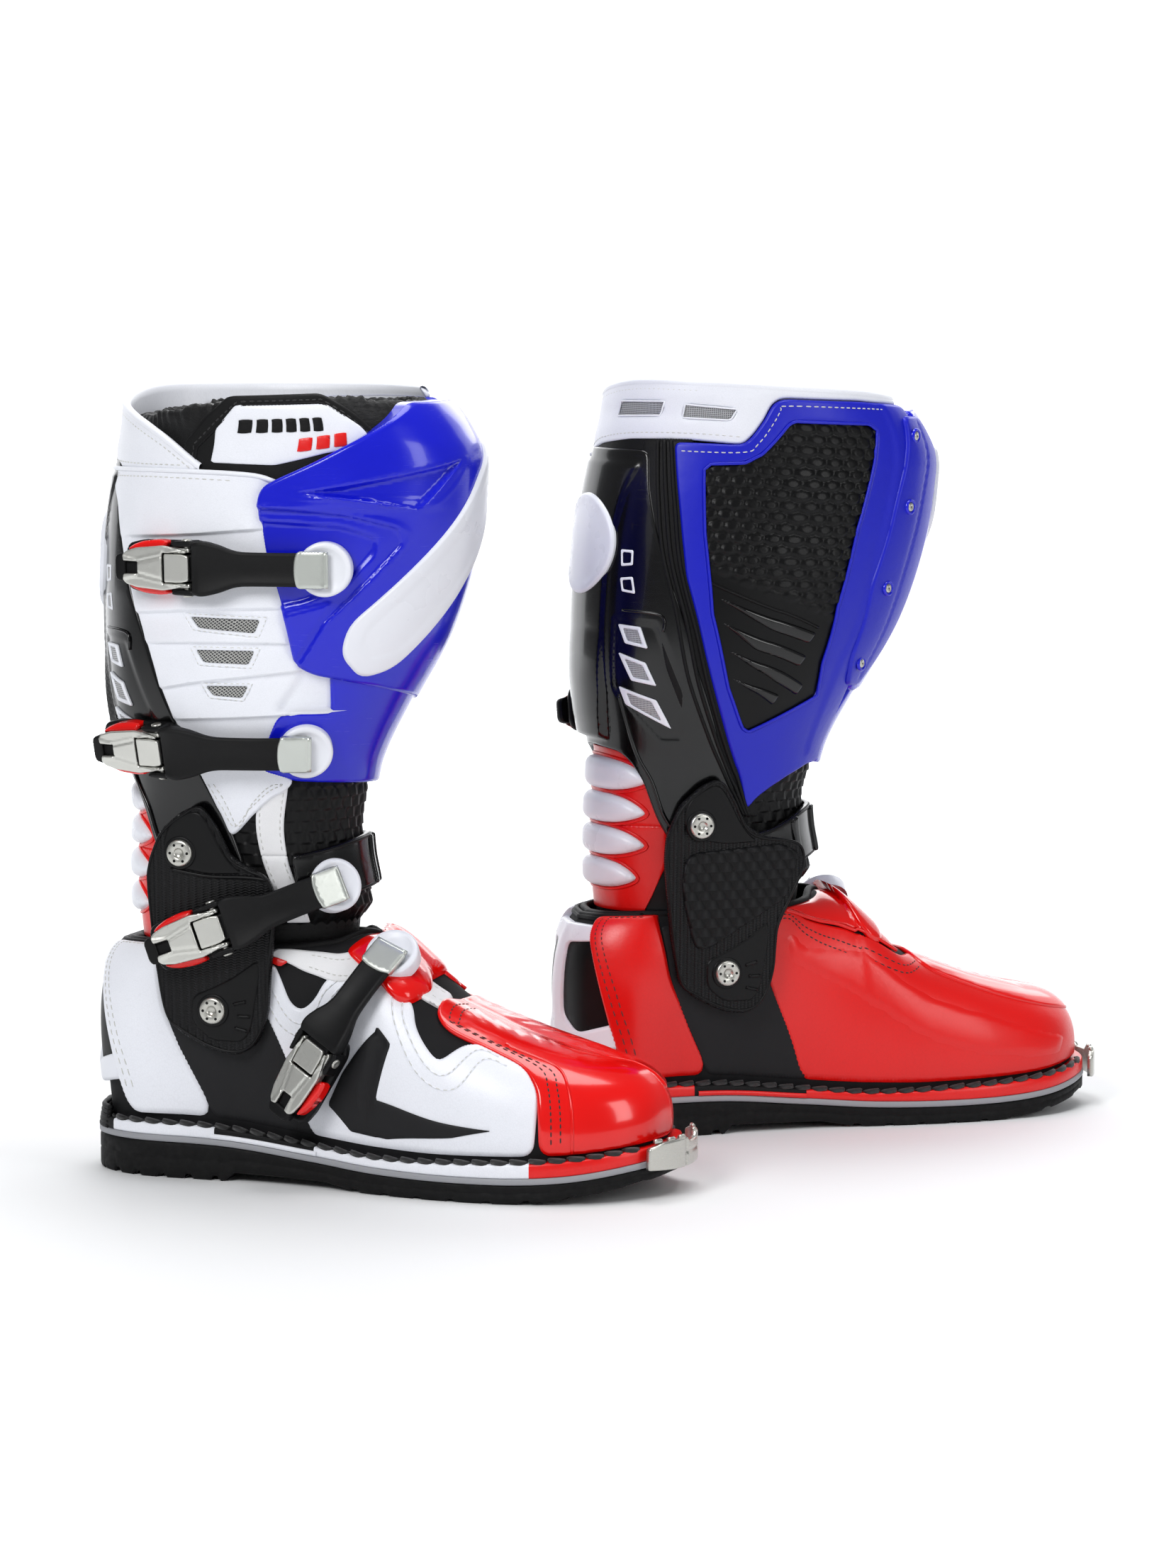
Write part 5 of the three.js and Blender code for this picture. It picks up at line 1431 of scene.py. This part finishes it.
shin.patch(SHAFT, lozenge, "white_plastic", off=lambda a, b: shin_off(a, b) + 2.0, drop=3.0, edge=1.8, res=1.8,
           corner=7, relief=lambda a, b: -0.5 * hollow(a, b))
SCREW = [(4.2, -0.6), (4.0, 0.7), (3.4, 0.9), (2.7, 0.2), (2.5, -0.2)]
SCREW_HEAD = [(2.5, 0.0), (2.3, 0.5), (1.6, 0.8), (0.7, 0.75), (0.5, 0.3)]
for a, z in ((222, 381), (227, 343), (229, 299), (224, 258)):
    spot = local(SHAFT, a, z, float(strip_off(a, z)) + 0.2)
    shin.turned(spot, SCREW, "blue", 24)
    shin.turned(spot, SCREW_HEAD, "steel", 20)
    # dark hexagon over the recess in the screw head: painted shade in the socket
    shin.turned(spot, [(0.5, 0.82), (0.3, 0.84)], "dark", 6)

# collar: padded white leather round the back and the inner side
collar = piece("collar", "shaft", "white_leather")
collar_line = [(74, 361.2), (40, 361.5), (17, 363), (0, 368), (-20, 371), (-48, 372.5), (-69, 371.5), (-73, 377.8),
               (-80.5, 393.5), (-84.5, 397), (-113.5, 397.8), (-143, 396.5), (-143, 402.0), (-113, 403.2),
               (-80, 403.6), (-54, 403.6), (-25, 403), (-5, 400.5), (11, 396.5), (34.5, 390.5), (57.5, 379.5),
               (74, 364.5)]
windows = [[(-10.5, 391), (-36.5, 392), (-34.5, 384.5), (-8.5, 383)],
           [(-46, 391), (-67, 390), (-64, 384), (-44.5, 384)]]
crown = plateau(SHAFT, collar_line, 9)
collar.patch(SHAFT, collar_line, "white_leather", off=3.2, edge=2.0, res=2.2, corner=3, holes=windows, closed=True,
             relief=lambda a, b: 1.0 * crown(a, b))
for w in windows:
    collar.patch(SHAFT, grown(w, 1.06, 1.14), "netting", off=3.2, drop=1, edge=0.2, res=2.4, corner=0.5)
    collar.tube(SHAFT, w, "white_leather", off=4.0, r=0.5, closed=True, smooth_line=False)
# rolled rim, a few millimetres high, that turns in over the lining
rim_line = [(-143, 401.2), (-113, 402.4), (-80, 402.8), (-54, 402.8), (-25, 402.2), (-5, 399.8), (11, 396),
            (34.5, 390), (57.5, 379), (75, 364)]
rim_at = smooth(rim_line)
A = np.linspace(-143, 75, 180)
roll = []
for off, up in ((3.4, -1.6), (3.6, 0.0), (2.9, 1.1), (1.4, 1.5), (0.2, 1.1), (-0.7, 0.1), (-1.2, -3.0), (-1.3, -12.0)):
    roll.append(shaft(A, rim_at(A) + up, off))
roll = np.array(roll)
collar.grid(roll, "white_leather", by_row(A * MM_PER_DEGREE, len(roll)), flip=True)
collar.stitches(SHAFT, [(a, z - 4.2) for a, z in rim_line[3:]], "thread_white", off=3.55, pitch=3.3, r=0.3)
collar.stitches(SHAFT, [(70, 364.5), (40, 365), (17, 366.5), (0, 371.5), (-20, 374.5), (-48, 376), (-70, 375.5)],
                "thread_white", off=3.55, pitch=3.3, r=0.3)

# plain panel sewn on the outside of the lining, where the front opens
tongue = piece("tongue_panel", "shaft", "padding")
tongue.patch(SHAFT, [(66, 362), (67, 376), (76, 388), (87, 399), (120, 400.5), (127, 393), (135, 378), (135, 360),
                     (100, 352), (80, 354)], "black_leather", off=1.2, drop=-2.5, edge=1.6, corner=3)
tongue.patch(SHAFT, [(78, 366), (80, 383), (88.5, 394.5), (119, 395.4), (128, 384), (131, 376), (112, 371),
                     (96, 365)], "white_leather", off=2.0, drop=0.6, edge=0.7, res=2.4, corner=1.5)
for k in range(6):
    tongue.patch(SHAFT, [(a + 4.6 * k, z + 0.25 * k) for a, z in ((87, 380.5), (90.4, 380.7), (91.6, 387.5),
            (88.2, 387.3))], "black_leather", off=2.6, drop=1.5, edge=0.3, res=2, corner=0.3)
for k in range(3):
    tongue.patch(SHAFT, [(a + 6.2 * k, z + 1.2 * k) for a, z in ((103, 371.6), (107.6, 372.4), (109, 379),
            (104.4, 378.2))], "red_leather", off=2.6, drop=1.5, edge=0.3, res=2, corner=0.3)
line = [(71, 364), (71.5, 375), (80, 386), (89.5, 396.2), (118.5, 397.4), (124, 391), (131, 379)]
tongue.stitches(SHAFT, line, "thread_black", off=1.25, pitch=3.2, smooth_line=False)
tongue.tube(SHAFT, [(a + (1.2 if a < 100 else -1.2), z - 1.6) for a, z in line], "black_leather", off=1.2, r=0.7,
            smooth_line=False)


# ------------------------------------------------------------------ buckles
def strap_frames(points, core):
    """Frames along a centripetal Catmull-Rom curve, by share of its length, as in the CAD."""
    p = np.array(points, float)
    core = np.array(core, float)

    def piece_of(i):
        p0 = p[i - 1] if i else 2 * p[0] - p[1]
        p3 = p[i + 2] if i + 2 < len(p) else 2 * p[-1] - p[-2]
        x0, x1, x2, x3 = p0, p[i], p[i + 1], p3
        d0, d1, d2 = (float(np.linalg.norm(b - a)) ** 0.5 for a, b in ((x0, x1), (x1, x2), (x2, x3)))
        t1 = ((x1 - x0) / d0 - (x2 - x0) / (d0 + d1) + (x2 - x1) / d1) * d1
        t2 = ((x2 - x1) / d1 - (x3 - x1) / (d1 + d2) + (x3 - x2) / d2) * d1
        return x1, t1, -3 * x1 + 3 * x2 - 2 * t1 - t2, 2 * x1 - 2 * x2 + t1 + t2

    pieces = [piece_of(i) for i in range(len(p) - 1)]

    def at(u):
        u = min(max(u, 0.0), 1.0) * len(pieces)
        i = min(int(u), len(pieces) - 1)
        w = u - i
        c = pieces[i]
        return c[0] + c[1] * w + c[2] * w * w + c[3] * w ** 3

    us = np.linspace(0, 1, 201)
    line = np.array([at(u) for u in us])
    length = run(line)

    def frame_of(t):
        u = float(np.interp(t * length[-1], length, us))
        here = at(u)
        along = at(u + 1e-4 if u < 1 - 1e-4 else 1) - at(u - 1e-4 if u < 1 - 1e-4 else u - 2e-4)
        along /= np.linalg.norm(along)
        far = here - core
        out = far - along * (far @ along)
        out /= np.linalg.norm(out)
        return dict(at=here, along=along, out=out, across=np.cross(along, out))
    return frame_of


def shaft_strap(z, lo, hi, offs):
    """Five points round the shaft at one height."""
    return [shaft(lo + (hi - lo) * i / 4, z, o) for i, o in enumerate(offs)]


HOOK_SHARE = 0.965      # where the hook sits on its catch
# buckle: body of its base, piece with the catch, points of the strap, what it bends round, share at the pin
BUCKLES = {
    "top": ("shaft", "shin", shaft_strap(314, 57, 118, [12.8, 11.6, 12, 13, 14.2]), (100, 0, 316), 0.31),
    "calf": ("shaft", "shin", shaft_strap(221, 40, 131, [12.5, 11.6, 12, 13, 14.2]), (85, 0, 235), 0.3),
    "ankle": ("ankle_brace", "plate", [(57, -58.5, 121), (89, -59.5, 132.5), (112, -54.5, 141), (129, -44.5, 148),
                                       (145, -28.5, 154.5)], (95, 0, 135), 0.33),
    "foot": ("foot", "instep", [(125, -54, 40), (139, -57, 71), (151, -53, 90), (162, -43.5, 108), (172, -29, 124)],
             (150, 0, 50), 0.35),
}
HOSTS = {"shin": shin, "plate": next(p for p in PIECES if p.name == "medial_ankle_plate"), "instep": instep}


QUARTER = np.linspace(0, math.pi / 2, 4)
BEAD = 0.45             # height of the bead along each edge of a strap
HOOK = [(-9.6, -7.6), (-10.4, -4), (-10.6, 0), (-10.4, 4), (-9.6, 7.6), (-8.4, 9.3), (4.8, 9.3), (5.2, 8.2),
        (5.2, -8.2), (4.8, -9.3), (-8.4, -9.3)]
RECEIVER = [(13.6, -6), (13.6, 1.3), (13.0, 2.2), (11.8, 2.5), (10.6, 2.4), (10.0, 1.9), (6.0, 2.0), (1.0, 2.1)]
for key, (host, holder, points, core, start) in BUCKLES.items():
    frames = strap_frames(points, core)
    pin = frame_chart(frames(start))
    hook = frames(HOOK_SHARE)
    # receiver on its host
    seat = frame_chart(dict(hook, at=hook["at"] - 4.3 * hook["out"]))
    HOSTS[holder].turned(seat, RECEIVER, "white_plastic", 56)
    # base
    base = piece(f"{key}_buckle_base", host, "black_plastic", f"{key}_buckle_base")
    base.patch(pin, both([(-38, 7), (-36, 11.5), (-28, 13.3), (4, 13.3), (10, 10.5)]), "black_plastic", off=-4.4,
               drop=-8.6, edge=1.3, res=2.4, closed=True)
    base.patch(pin, both([(-35, 5.5), (-32, 6.6), (-18, 7.0), (-9, 6.4)]), "black_plastic", off=-0.4, drop=-5.5,
               edge=1.4, res=2.0, corner=1.5)
    for s in (1, -1):
        base.patch(pin, [(-6.5, s * 10.7), (-8.5, s * 13.2), (5.0, s * 13.8), (5.0, s * 10.7)], "black_plastic",
                   off=3.7, drop=-6, edge=1.1, res=1.6, corner=2.2)
        base.patch(pin, [(-34, s * 8.4), (-31.5, s * 10.8), (-26, s * 12.9), (-17, s * 13.9), (-11, s * 13.2),
                         (-13, s * 9.5)], "red", off=lambda a, b: 1.2 - 0.03 * (a + 22) - 0.3 * np.maximum(0,
                                 np.abs(b) - 9.5), drop=-6.5, edge=1.5, res=1.4, step=1.0)
        f = frames(start)
        end = frame_chart(dict(f, at=pin.at(0, s * 13.6, 0), out=f["across"] * s, across=f["out"]))
        base.turned(end, [(2.6, 0), (2.5, 0.6), (1.9, 0.9), (1.0, 0.6)], "steel", 20)
    # lever: pressed plate with a slot, on two cheeks
    lever = piece(f"{key}_buckle_lever", f"{key}_lever", "steel", f"{key}_buckle_lever")
    outline = [(-26.5, -3.0), (-34.5, -3.2), (-35, -6.4), (-33, -8.2), (-27, -9.9), (-12, -11.2), (-4, -9.9),
               (1.4, -8.6), (1.4, -7.6), (-12.5, -7.6)]
    grooves = [crease(pin, [(-26.5, s * 3.0), (-1.5, s * 8.4)], 0.55) for s in (1, -1)]
    sides_low = [plateau(pin, [(-27, s * 3.8), (-2, s * 9.2), (-10, s * 12.5), (-36, s * 9.8), (-36, s * 5.8)],
                         0.9) for s in (1, -1)]
    lever.patch(pin, both(outline), "lever_steel", off=4.6, drop=2.7, edge=0.7, res=1.0, corner=0.7, closed=True,
                step=0.9, relief=lambda a, b: -0.8 * (grooves[0](a, b) + grooves[1](a, b)) - 0.45 * (sides_low[0](a,
                        b) + sides_low[1](a, b)))
    # dark sheet under the lever's slot: painted shade seen through the slot
    lever.patch(pin, both([(-36, 3.3), (-26, 3.3)]), "dark", off=2.2, drop=1.2, edge=0.2, res=2, closed=True)
    lever.patch(pin, both([(-39.5, 4.4), (-38.5, 6.4), (-34.4, 7.4), (-33.6, 6)]), "black_plastic", off=4.0,
                drop=-1.5, res=1.6, corner=0.8, closed=True)
    for s in (1, -1):
        lever.patch(pin, [(-15, s * 7.7), (-15, s * 10.1), (2.6, s * 10.1), (2.6, s * 7.7)], "lever_steel", off=2.6,
                    drop=-2.5, edge=0.7, res=1.4, corner=1.0, closed=True)
    lever.tube(pin, [(-6, -10), (-6, 10)], "steel", r=1.5, n=14, smooth_line=False)
    for lo, hi in ((-12.8, -8), (8, 12.8)):
        lever.tube(pin, [(0, lo), (0, hi)], "steel", r=1.6, n=14, smooth_line=False)
    # strap: thick root, beaded band, sprung metal end
    strap = piece(f"{key}_buckle_strap", f"{key}_strap", "black_plastic", f"{key}_buckle_strap")
    wide = smooth([[0, 25.5], [0.05, 27], [0.12, 27], [0.22, 24.5], [0.34, 18.6], [0.43, 17], [1, 17]])
    thick = smooth([[0, 6.0], [0.08, 6.7], [0.2, 6.0], [0.34, 4.0], [0.48, 3.3], [1, 3.0]])
    rings, uv = [], []
    shares = np.linspace(0, 0.955, 72)
    for share in shares:
        f = frames(start + (1 - start) * share)
        h, k = wide(share) / 2, thick(share)
        r = min(1.3, k / 2 - 0.1)
        section = [(-h + r * (1 - math.cos(w)), -1.5 + r * (1 - math.sin(w))) for w in QUARTER]
        section += [(-x, y) for x, y in section[::-1]]
        upper_line = [(h - r * (1 - math.cos(w)), k - 1.5 - r * (1 - math.sin(w))) for w in QUARTER]
        upper_line += [(h - 2.4, k - 1.5), (h - 3.2, k - 1.5 - BEAD)]
        section += upper_line + [(-x, y) for x, y in upper_line[::-1]]
        at = f["at"] + f["along"] * 4.6 * (1 - share / 0.2 if share < 0.2 else 0)
        rings.append([at + x * f["across"] + y * f["out"] for x, y in section])
        uv += [(share * 90, i * 2.0) for i in range(len(section))]
    rings = np.array(rings)
    n = rings.shape[1]
    faces = sheet(rings, wrap=True) + [tuple(range(n))[::-1], tuple((len(rings) - 1) * n + i for i in range(n))]
    strap.add(rings, faces, uv, "strap")
    strap.patch(pin, both([(-11.2, 7.1), (-1.5, 7.1), (2.4, 6.2)]), "lever_steel", off=4.45, drop=2.2, edge=0.6,
                res=1.2, corner=0.7, closed=True, step=0.9)
    strap.patch(pin, [(-8.6, -7.1), (-8.6, 7.1), (8, 7.1), (8, -7.1)], "black_plastic", off=1.6, drop=-2.4, edge=1.6,
                res=1.8, corner=1.0, closed=True)
    clip = frame_chart(dict(hook, at=hook["at"] - 4.0 * hook["along"]))
    strap.patch(clip, HOOK, "hook_steel", off=2.3, drop=-1.0, edge=0.8, res=1.7, corner=1.0, closed=True)
    strap.tube(clip, [(5.3, -8.9), (5.3, 8.9)], "hook_steel", off=0.9, r=1.35, n=12, smooth_line=False)

# ------------------------------------------------------------------ bolts
BOLT = [(3.0, -6), (6.8, -0.2), (6.8, 1.4), (6.4, 2.1), (5.6, 2.4), (2.9, 2.4), (2.5, 2.1), (2.3, 1.2), (0.4, 1.2)]
for side, chart in PLATE.items():
    for where, pivot, body in (("lower", LOWER_PIVOT, "foot"), ("upper", UPPER_PIVOT, "ankle_brace")):
        b = piece(f"{side}_{where}_bolt", body, "steel", f"{side}_{where}_bolt")
        spot = local(chart, *pivot, 3.9)
        b.turned(spot, BOLT, "steel", 48)
        b.turned(spot, [(8.4, -0.9), (8.4, 0.3), (7.9, 0.6), (6.9, 0.6)], "black_plastic", 40)
        for centre in circle(0, 0, 4.6, 6):
            b.turned(spot, [(0.75, 2.0), (0.75, 2.46), (0.5, 2.47)], "dark", 10, centre)


# ------------------------------------------------------------------ padded lining, filled by a cloth simulation
def shaft_params(p):
    """Angle and depth on the shaft form of points in a boot's own frame."""
    x, y, z = p.T
    a = (shaft_front(z) - shaft_back(z)) / 2
    u = (shaft_back(z) + a - x) / a
    w = -y / shaft_half(z)
    angle = np.degrees(np.arctan2(np.sign(w) * np.abs(w) ** (POWER / 2), np.sign(u) * np.abs(u) ** (POWER / 2))) % 360
    radius = (np.abs(u) ** POWER + np.abs(w) ** POWER) ** (1 / POWER)
    return angle, radius


LINING_TOP = smooth([[0, 392], [40, 392], [70, 397], [95, 400.5], [130, 401], [180, 399], [230, 400], [300, 399],
                     [330, 395], [360, 392]])


def inflate(ob, voxel, pressure, cap, last):
    """Fill a closed form with cloth pressure, and keep each point within cap metres of where it was."""
    scene = bpy.context.scene
    bpy.context.view_layer.objects.active = ob
    remesh = ob.modifiers.new("Remesh", "REMESH")
    remesh.mode, remesh.voxel_size, remesh.use_smooth_shade = "VOXEL", voxel, True
    with bpy.context.temp_override(object=ob, active_object=ob, selected_objects=[ob]):
        bpy.ops.object.modifier_apply(modifier=remesh.name)
    start = np.array([v.co for v in ob.data.vertices])
    cloth = ob.modifiers.new("Cloth", "CLOTH")
    cloth.settings.use_pressure = True
    cloth.settings.uniform_pressure_force = pressure
    cloth.settings.effector_weights.gravity = 0
    cloth.settings.quality = 5
    cloth.settings.tension_stiffness = cloth.settings.compression_stiffness = 12
    cloth.settings.bending_stiffness = 0.3
    cloth.point_cache.frame_start, cloth.point_cache.frame_end = 1, last
    for f in range(1, last + 1):
        scene.frame_set(f)
    got = ob.evaluated_get(bpy.context.evaluated_depsgraph_get()).to_mesh()
    end = np.array([v.co for v in got.vertices])
    ob.modifiers.remove(cloth)
    scene.frame_set(1)
    move = end - start
    far = np.linalg.norm(move, axis=1, keepdims=True)
    move *= np.minimum(1, cap / np.maximum(far, 1e-9))
    ob.data.vertices.foreach_set("co", (start + move).astype(np.float32).ravel())
    ob.data.update()
    return ob


def filled_lining():
    """The sleeve inside the shaft in a boot's own frame: a closed tube wall, remeshed and filled once."""
    A = np.linspace(0, 360, 150, endpoint=False)
    up = np.linspace(0, 1, 46)
    low, rise = 214, LINING_TOP(A) - 216
    rings = [shaft(A, low + rise * t, -2.6) for t in up]
    rings += [shaft(A, LINING_TOP(A) - 0.4, o) for o in (-4.2, -6.4)]
    rings += [shaft(A, low + rise * t, -8.6) for t in up[::-1]]
    grid = np.array(rings)
    faces = sheet(grid, wrap=True, flip=True)
    n, last = grid.shape[1], (len(grid) - 1) * grid.shape[1]
    faces += [(last + j, last + (j + 1) % n, (j + 1) % n, j)[::-1] for j in range(n)]
    me = bpy.data.meshes.new("lining_fill")
    me.from_pydata((grid.reshape(-1, 3) / 1000).tolist(), [], faces)
    ob = bpy.data.objects.new("lining_fill", me)
    bpy.context.scene.collection.objects.link(ob)
    inflate(ob, voxel=0.004, pressure=4.0, cap=0.0022, last=20)
    sub = ob.modifiers.new("Subdivision", "SUBSURF")
    sub.levels = sub.render_levels = 1
    with bpy.context.temp_override(object=ob, active_object=ob, selected_objects=[ob]):
        bpy.context.view_layer.objects.active = ob
        bpy.ops.object.modifier_apply(modifier=sub.name)
    done = ob.data.copy()
    bpy.data.objects.remove(ob)
    return done


FILLED = filled_lining()


def make_lining(side):
    """The filled sleeve, sewn into diamonds on its inner face and gathered at its rim."""
    me = FILLED.copy()
    me.name = f"{side}_lining_look"
    ob = bpy.data.objects.new(me.name, me)
    bpy.context.scene.collection.objects.link(ob)
    p = np.array([v.co for v in me.vertices]) * 1000
    angle, radius = shaft_params(p)
    below = LINING_TOP(angle) - p[:, 2]
    inner = ramp((0.94 - radius) / 0.03)
    s, t = angle * MM_PER_DEGREE, p[:, 2]
    pitch = 26.0
    d1 = np.abs(((s + t * 1.1) / pitch) % 1 - 0.5) * pitch
    d2 = np.abs(((s - t * 1.1) / pitch) % 1 - 0.5) * pitch
    sewn = np.exp(-(np.minimum(d1, d2) / 1.6) ** 2)
    near = ramp(1 - below / 16)
    gather = (np.sin(s * 2 * math.pi / 6.2 + 1.7 * np.sin(s / 11.0) + 0.05 * t) + 0.6
              * np.sin(s * 2 * math.pi / 3.9 + 2.1 * np.sin(s / 7.0)))
    wave = np.sin(t / 5.5 + 2.5 * np.sin(s / 17.0)) * ramp(1 - np.abs(below - 16) / 18)
    normal = np.array([v.normal for v in me.vertices])
    push = -1.1 * sewn * inner * (1 - near) + 0.75 * gather * near + 0.5 * wave * inner
    mesh_to(me, p + normal * push[:, None], side, True, angle)
    me.materials.append(material("lining"))
    me.polygons.foreach_set("use_smooth", [True] * len(me.polygons))
    return ob


def mesh_to(me, p, side, leaning, angle):
    """Write the points in the row frame, with UVs around the shaft, and mirror them for the left boot."""
    row = to_row(p, side, leaning)
    me.vertices.foreach_set("co", row.astype(np.float32).ravel())
    if STANCE[side]["mirror"] < 0:
        me.flip_normals()
    loops = np.zeros(len(me.loops), np.int32)
    me.loops.foreach_get("vertex_index", loops)
    a = angle[loops]
    for q in me.polygons:
        own = slice(q.loop_start, q.loop_start + q.loop_total)
        turn = a[own] - a[q.loop_start]
        a[own] = np.where(turn > 180, a[own] - 360, np.where(turn < -180, a[own] + 360, a[own]))
    layer = me.uv_layers.get("UVMap") or me.uv_layers.new(name="UVMap")
    layer.data.foreach_set("uv", np.stack([a * MM_PER_DEGREE, p[loops, 2]], -1).astype(np.float32).ravel())
    me.update()


# ------------------------------------------------------------------ both boots
for side in ("right", "left"):
    for p in PIECES:
        ob = p.make(side)
        if p.bend:
            a, b, *ends = p.bend
            low, high = (tuple(to_row(end, side, False)[0]) for end in ends)
            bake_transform(ob)
        else:
            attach(ob, f"{side}_{p.body}")
        if p.replaces:
            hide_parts(*[f"{side}_{n}" for n in p.replaces])
    ob = make_lining(side)
    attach(ob, f"{side}_shaft")
    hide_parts(f"{side}_liner")


# ------------------------------------------------------------------ floor, lights, camera
def stage_sheet(name, corners, build):
    me = bpy.data.meshes.new(name)
    me.from_pydata(corners, [], [(0, 1, 2, 3)])
    ob = bpy.data.objects.new(name, me)
    bpy.context.scene.collection.objects.link(ob)
    me.materials.append(build(Nodes(name + "_look")))


def floor_look(m):
    tone = m.blend(m.spread(m.noise(1.5, m.pos), 0.3, 0.7), (0.84, 0.85, 0.86, 1), (0.88, 0.885, 0.89, 1))
    # painted light: the floor glows, more and more towards the back, so that it brightens into the backdrop
    place = m.node("ShaderNodeSeparateXYZ", {0: m.pos}).outputs[1]
    m.bsdf.inputs["Emission Color"].default_value = (0.97, 0.98, 1.0, 1)
    m.tree.links.new(m.spread(place, 0.35, 1.9, 0.0, 0.95), m.bsdf.inputs["Emission Strength"])
    return m.done(tone, 0.75)


def backdrop_look(m):
    m.bsdf.inputs["Emission Color"].default_value = (0.97, 0.98, 1.0, 1)
    m.bsdf.inputs["Emission Strength"].default_value = 0.95
    return m.done((0.8, 0.8, 0.8, 1), 0.9)


stage_sheet("floor", [(-5, -4, 0), (5, -4, 0), (5, 3.5, 0), (-5, 3.5, 0)], floor_look)
stage_sheet("backdrop", [(-5, 3.5, 0), (5, 3.5, 0), (5, 3.9, 4), (-5, 3.9, 4)], backdrop_look)

world = bpy.data.worlds.new("studio")
bpy.context.scene.world = world
world.use_nodes = True
world.node_tree.nodes["Background"].inputs[0].default_value = (0.95, 0.97, 1.0, 1)
world.node_tree.nodes["Background"].inputs[1].default_value = 0.22


def area(name, place, aim, size, watts):
    light = bpy.data.lights.new(name, "AREA")
    light.shape, light.size, light.size_y = "RECTANGLE", size[0], size[1]
    light.energy = watts
    ob = bpy.data.objects.new(name, light)
    ob.location = place
    ob.rotation_euler = (Vector(aim) - Vector(place)).to_track_quat("-Z", "Y").to_euler()
    bpy.context.scene.collection.objects.link(ob)


area("key", (-1.0, -1.7, 1.5), (0, 0, 0.18), (0.8, 0.9), 27)
area("fill", (1.6, -1.3, 0.9), (0, 0, 0.2), (0.5, 1.2), 9)
area("top", (0.1, 0.1, 1.9), (0, 0, 0.1), (1.4, 0.8), 20)
area("back", (0.2, 1.7, 1.1), (0, 0, 0.2), (1.8, 0.8), 9)

cam_data = bpy.data.cameras.new("camera")
cam_data.lens, cam_data.sensor_width = 104.2, 36
cam = bpy.data.objects.new("camera", cam_data)
cam.location = (-0.0144, -2.3874, 0.444)
cam.rotation_euler = (math.radians(83.97), 0, 0)
bpy.context.scene.collection.objects.link(cam)
bpy.context.scene.camera = cam
bpy.context.scene.view_settings.view_transform = "Standard"

bpy.context.view_layer.update()
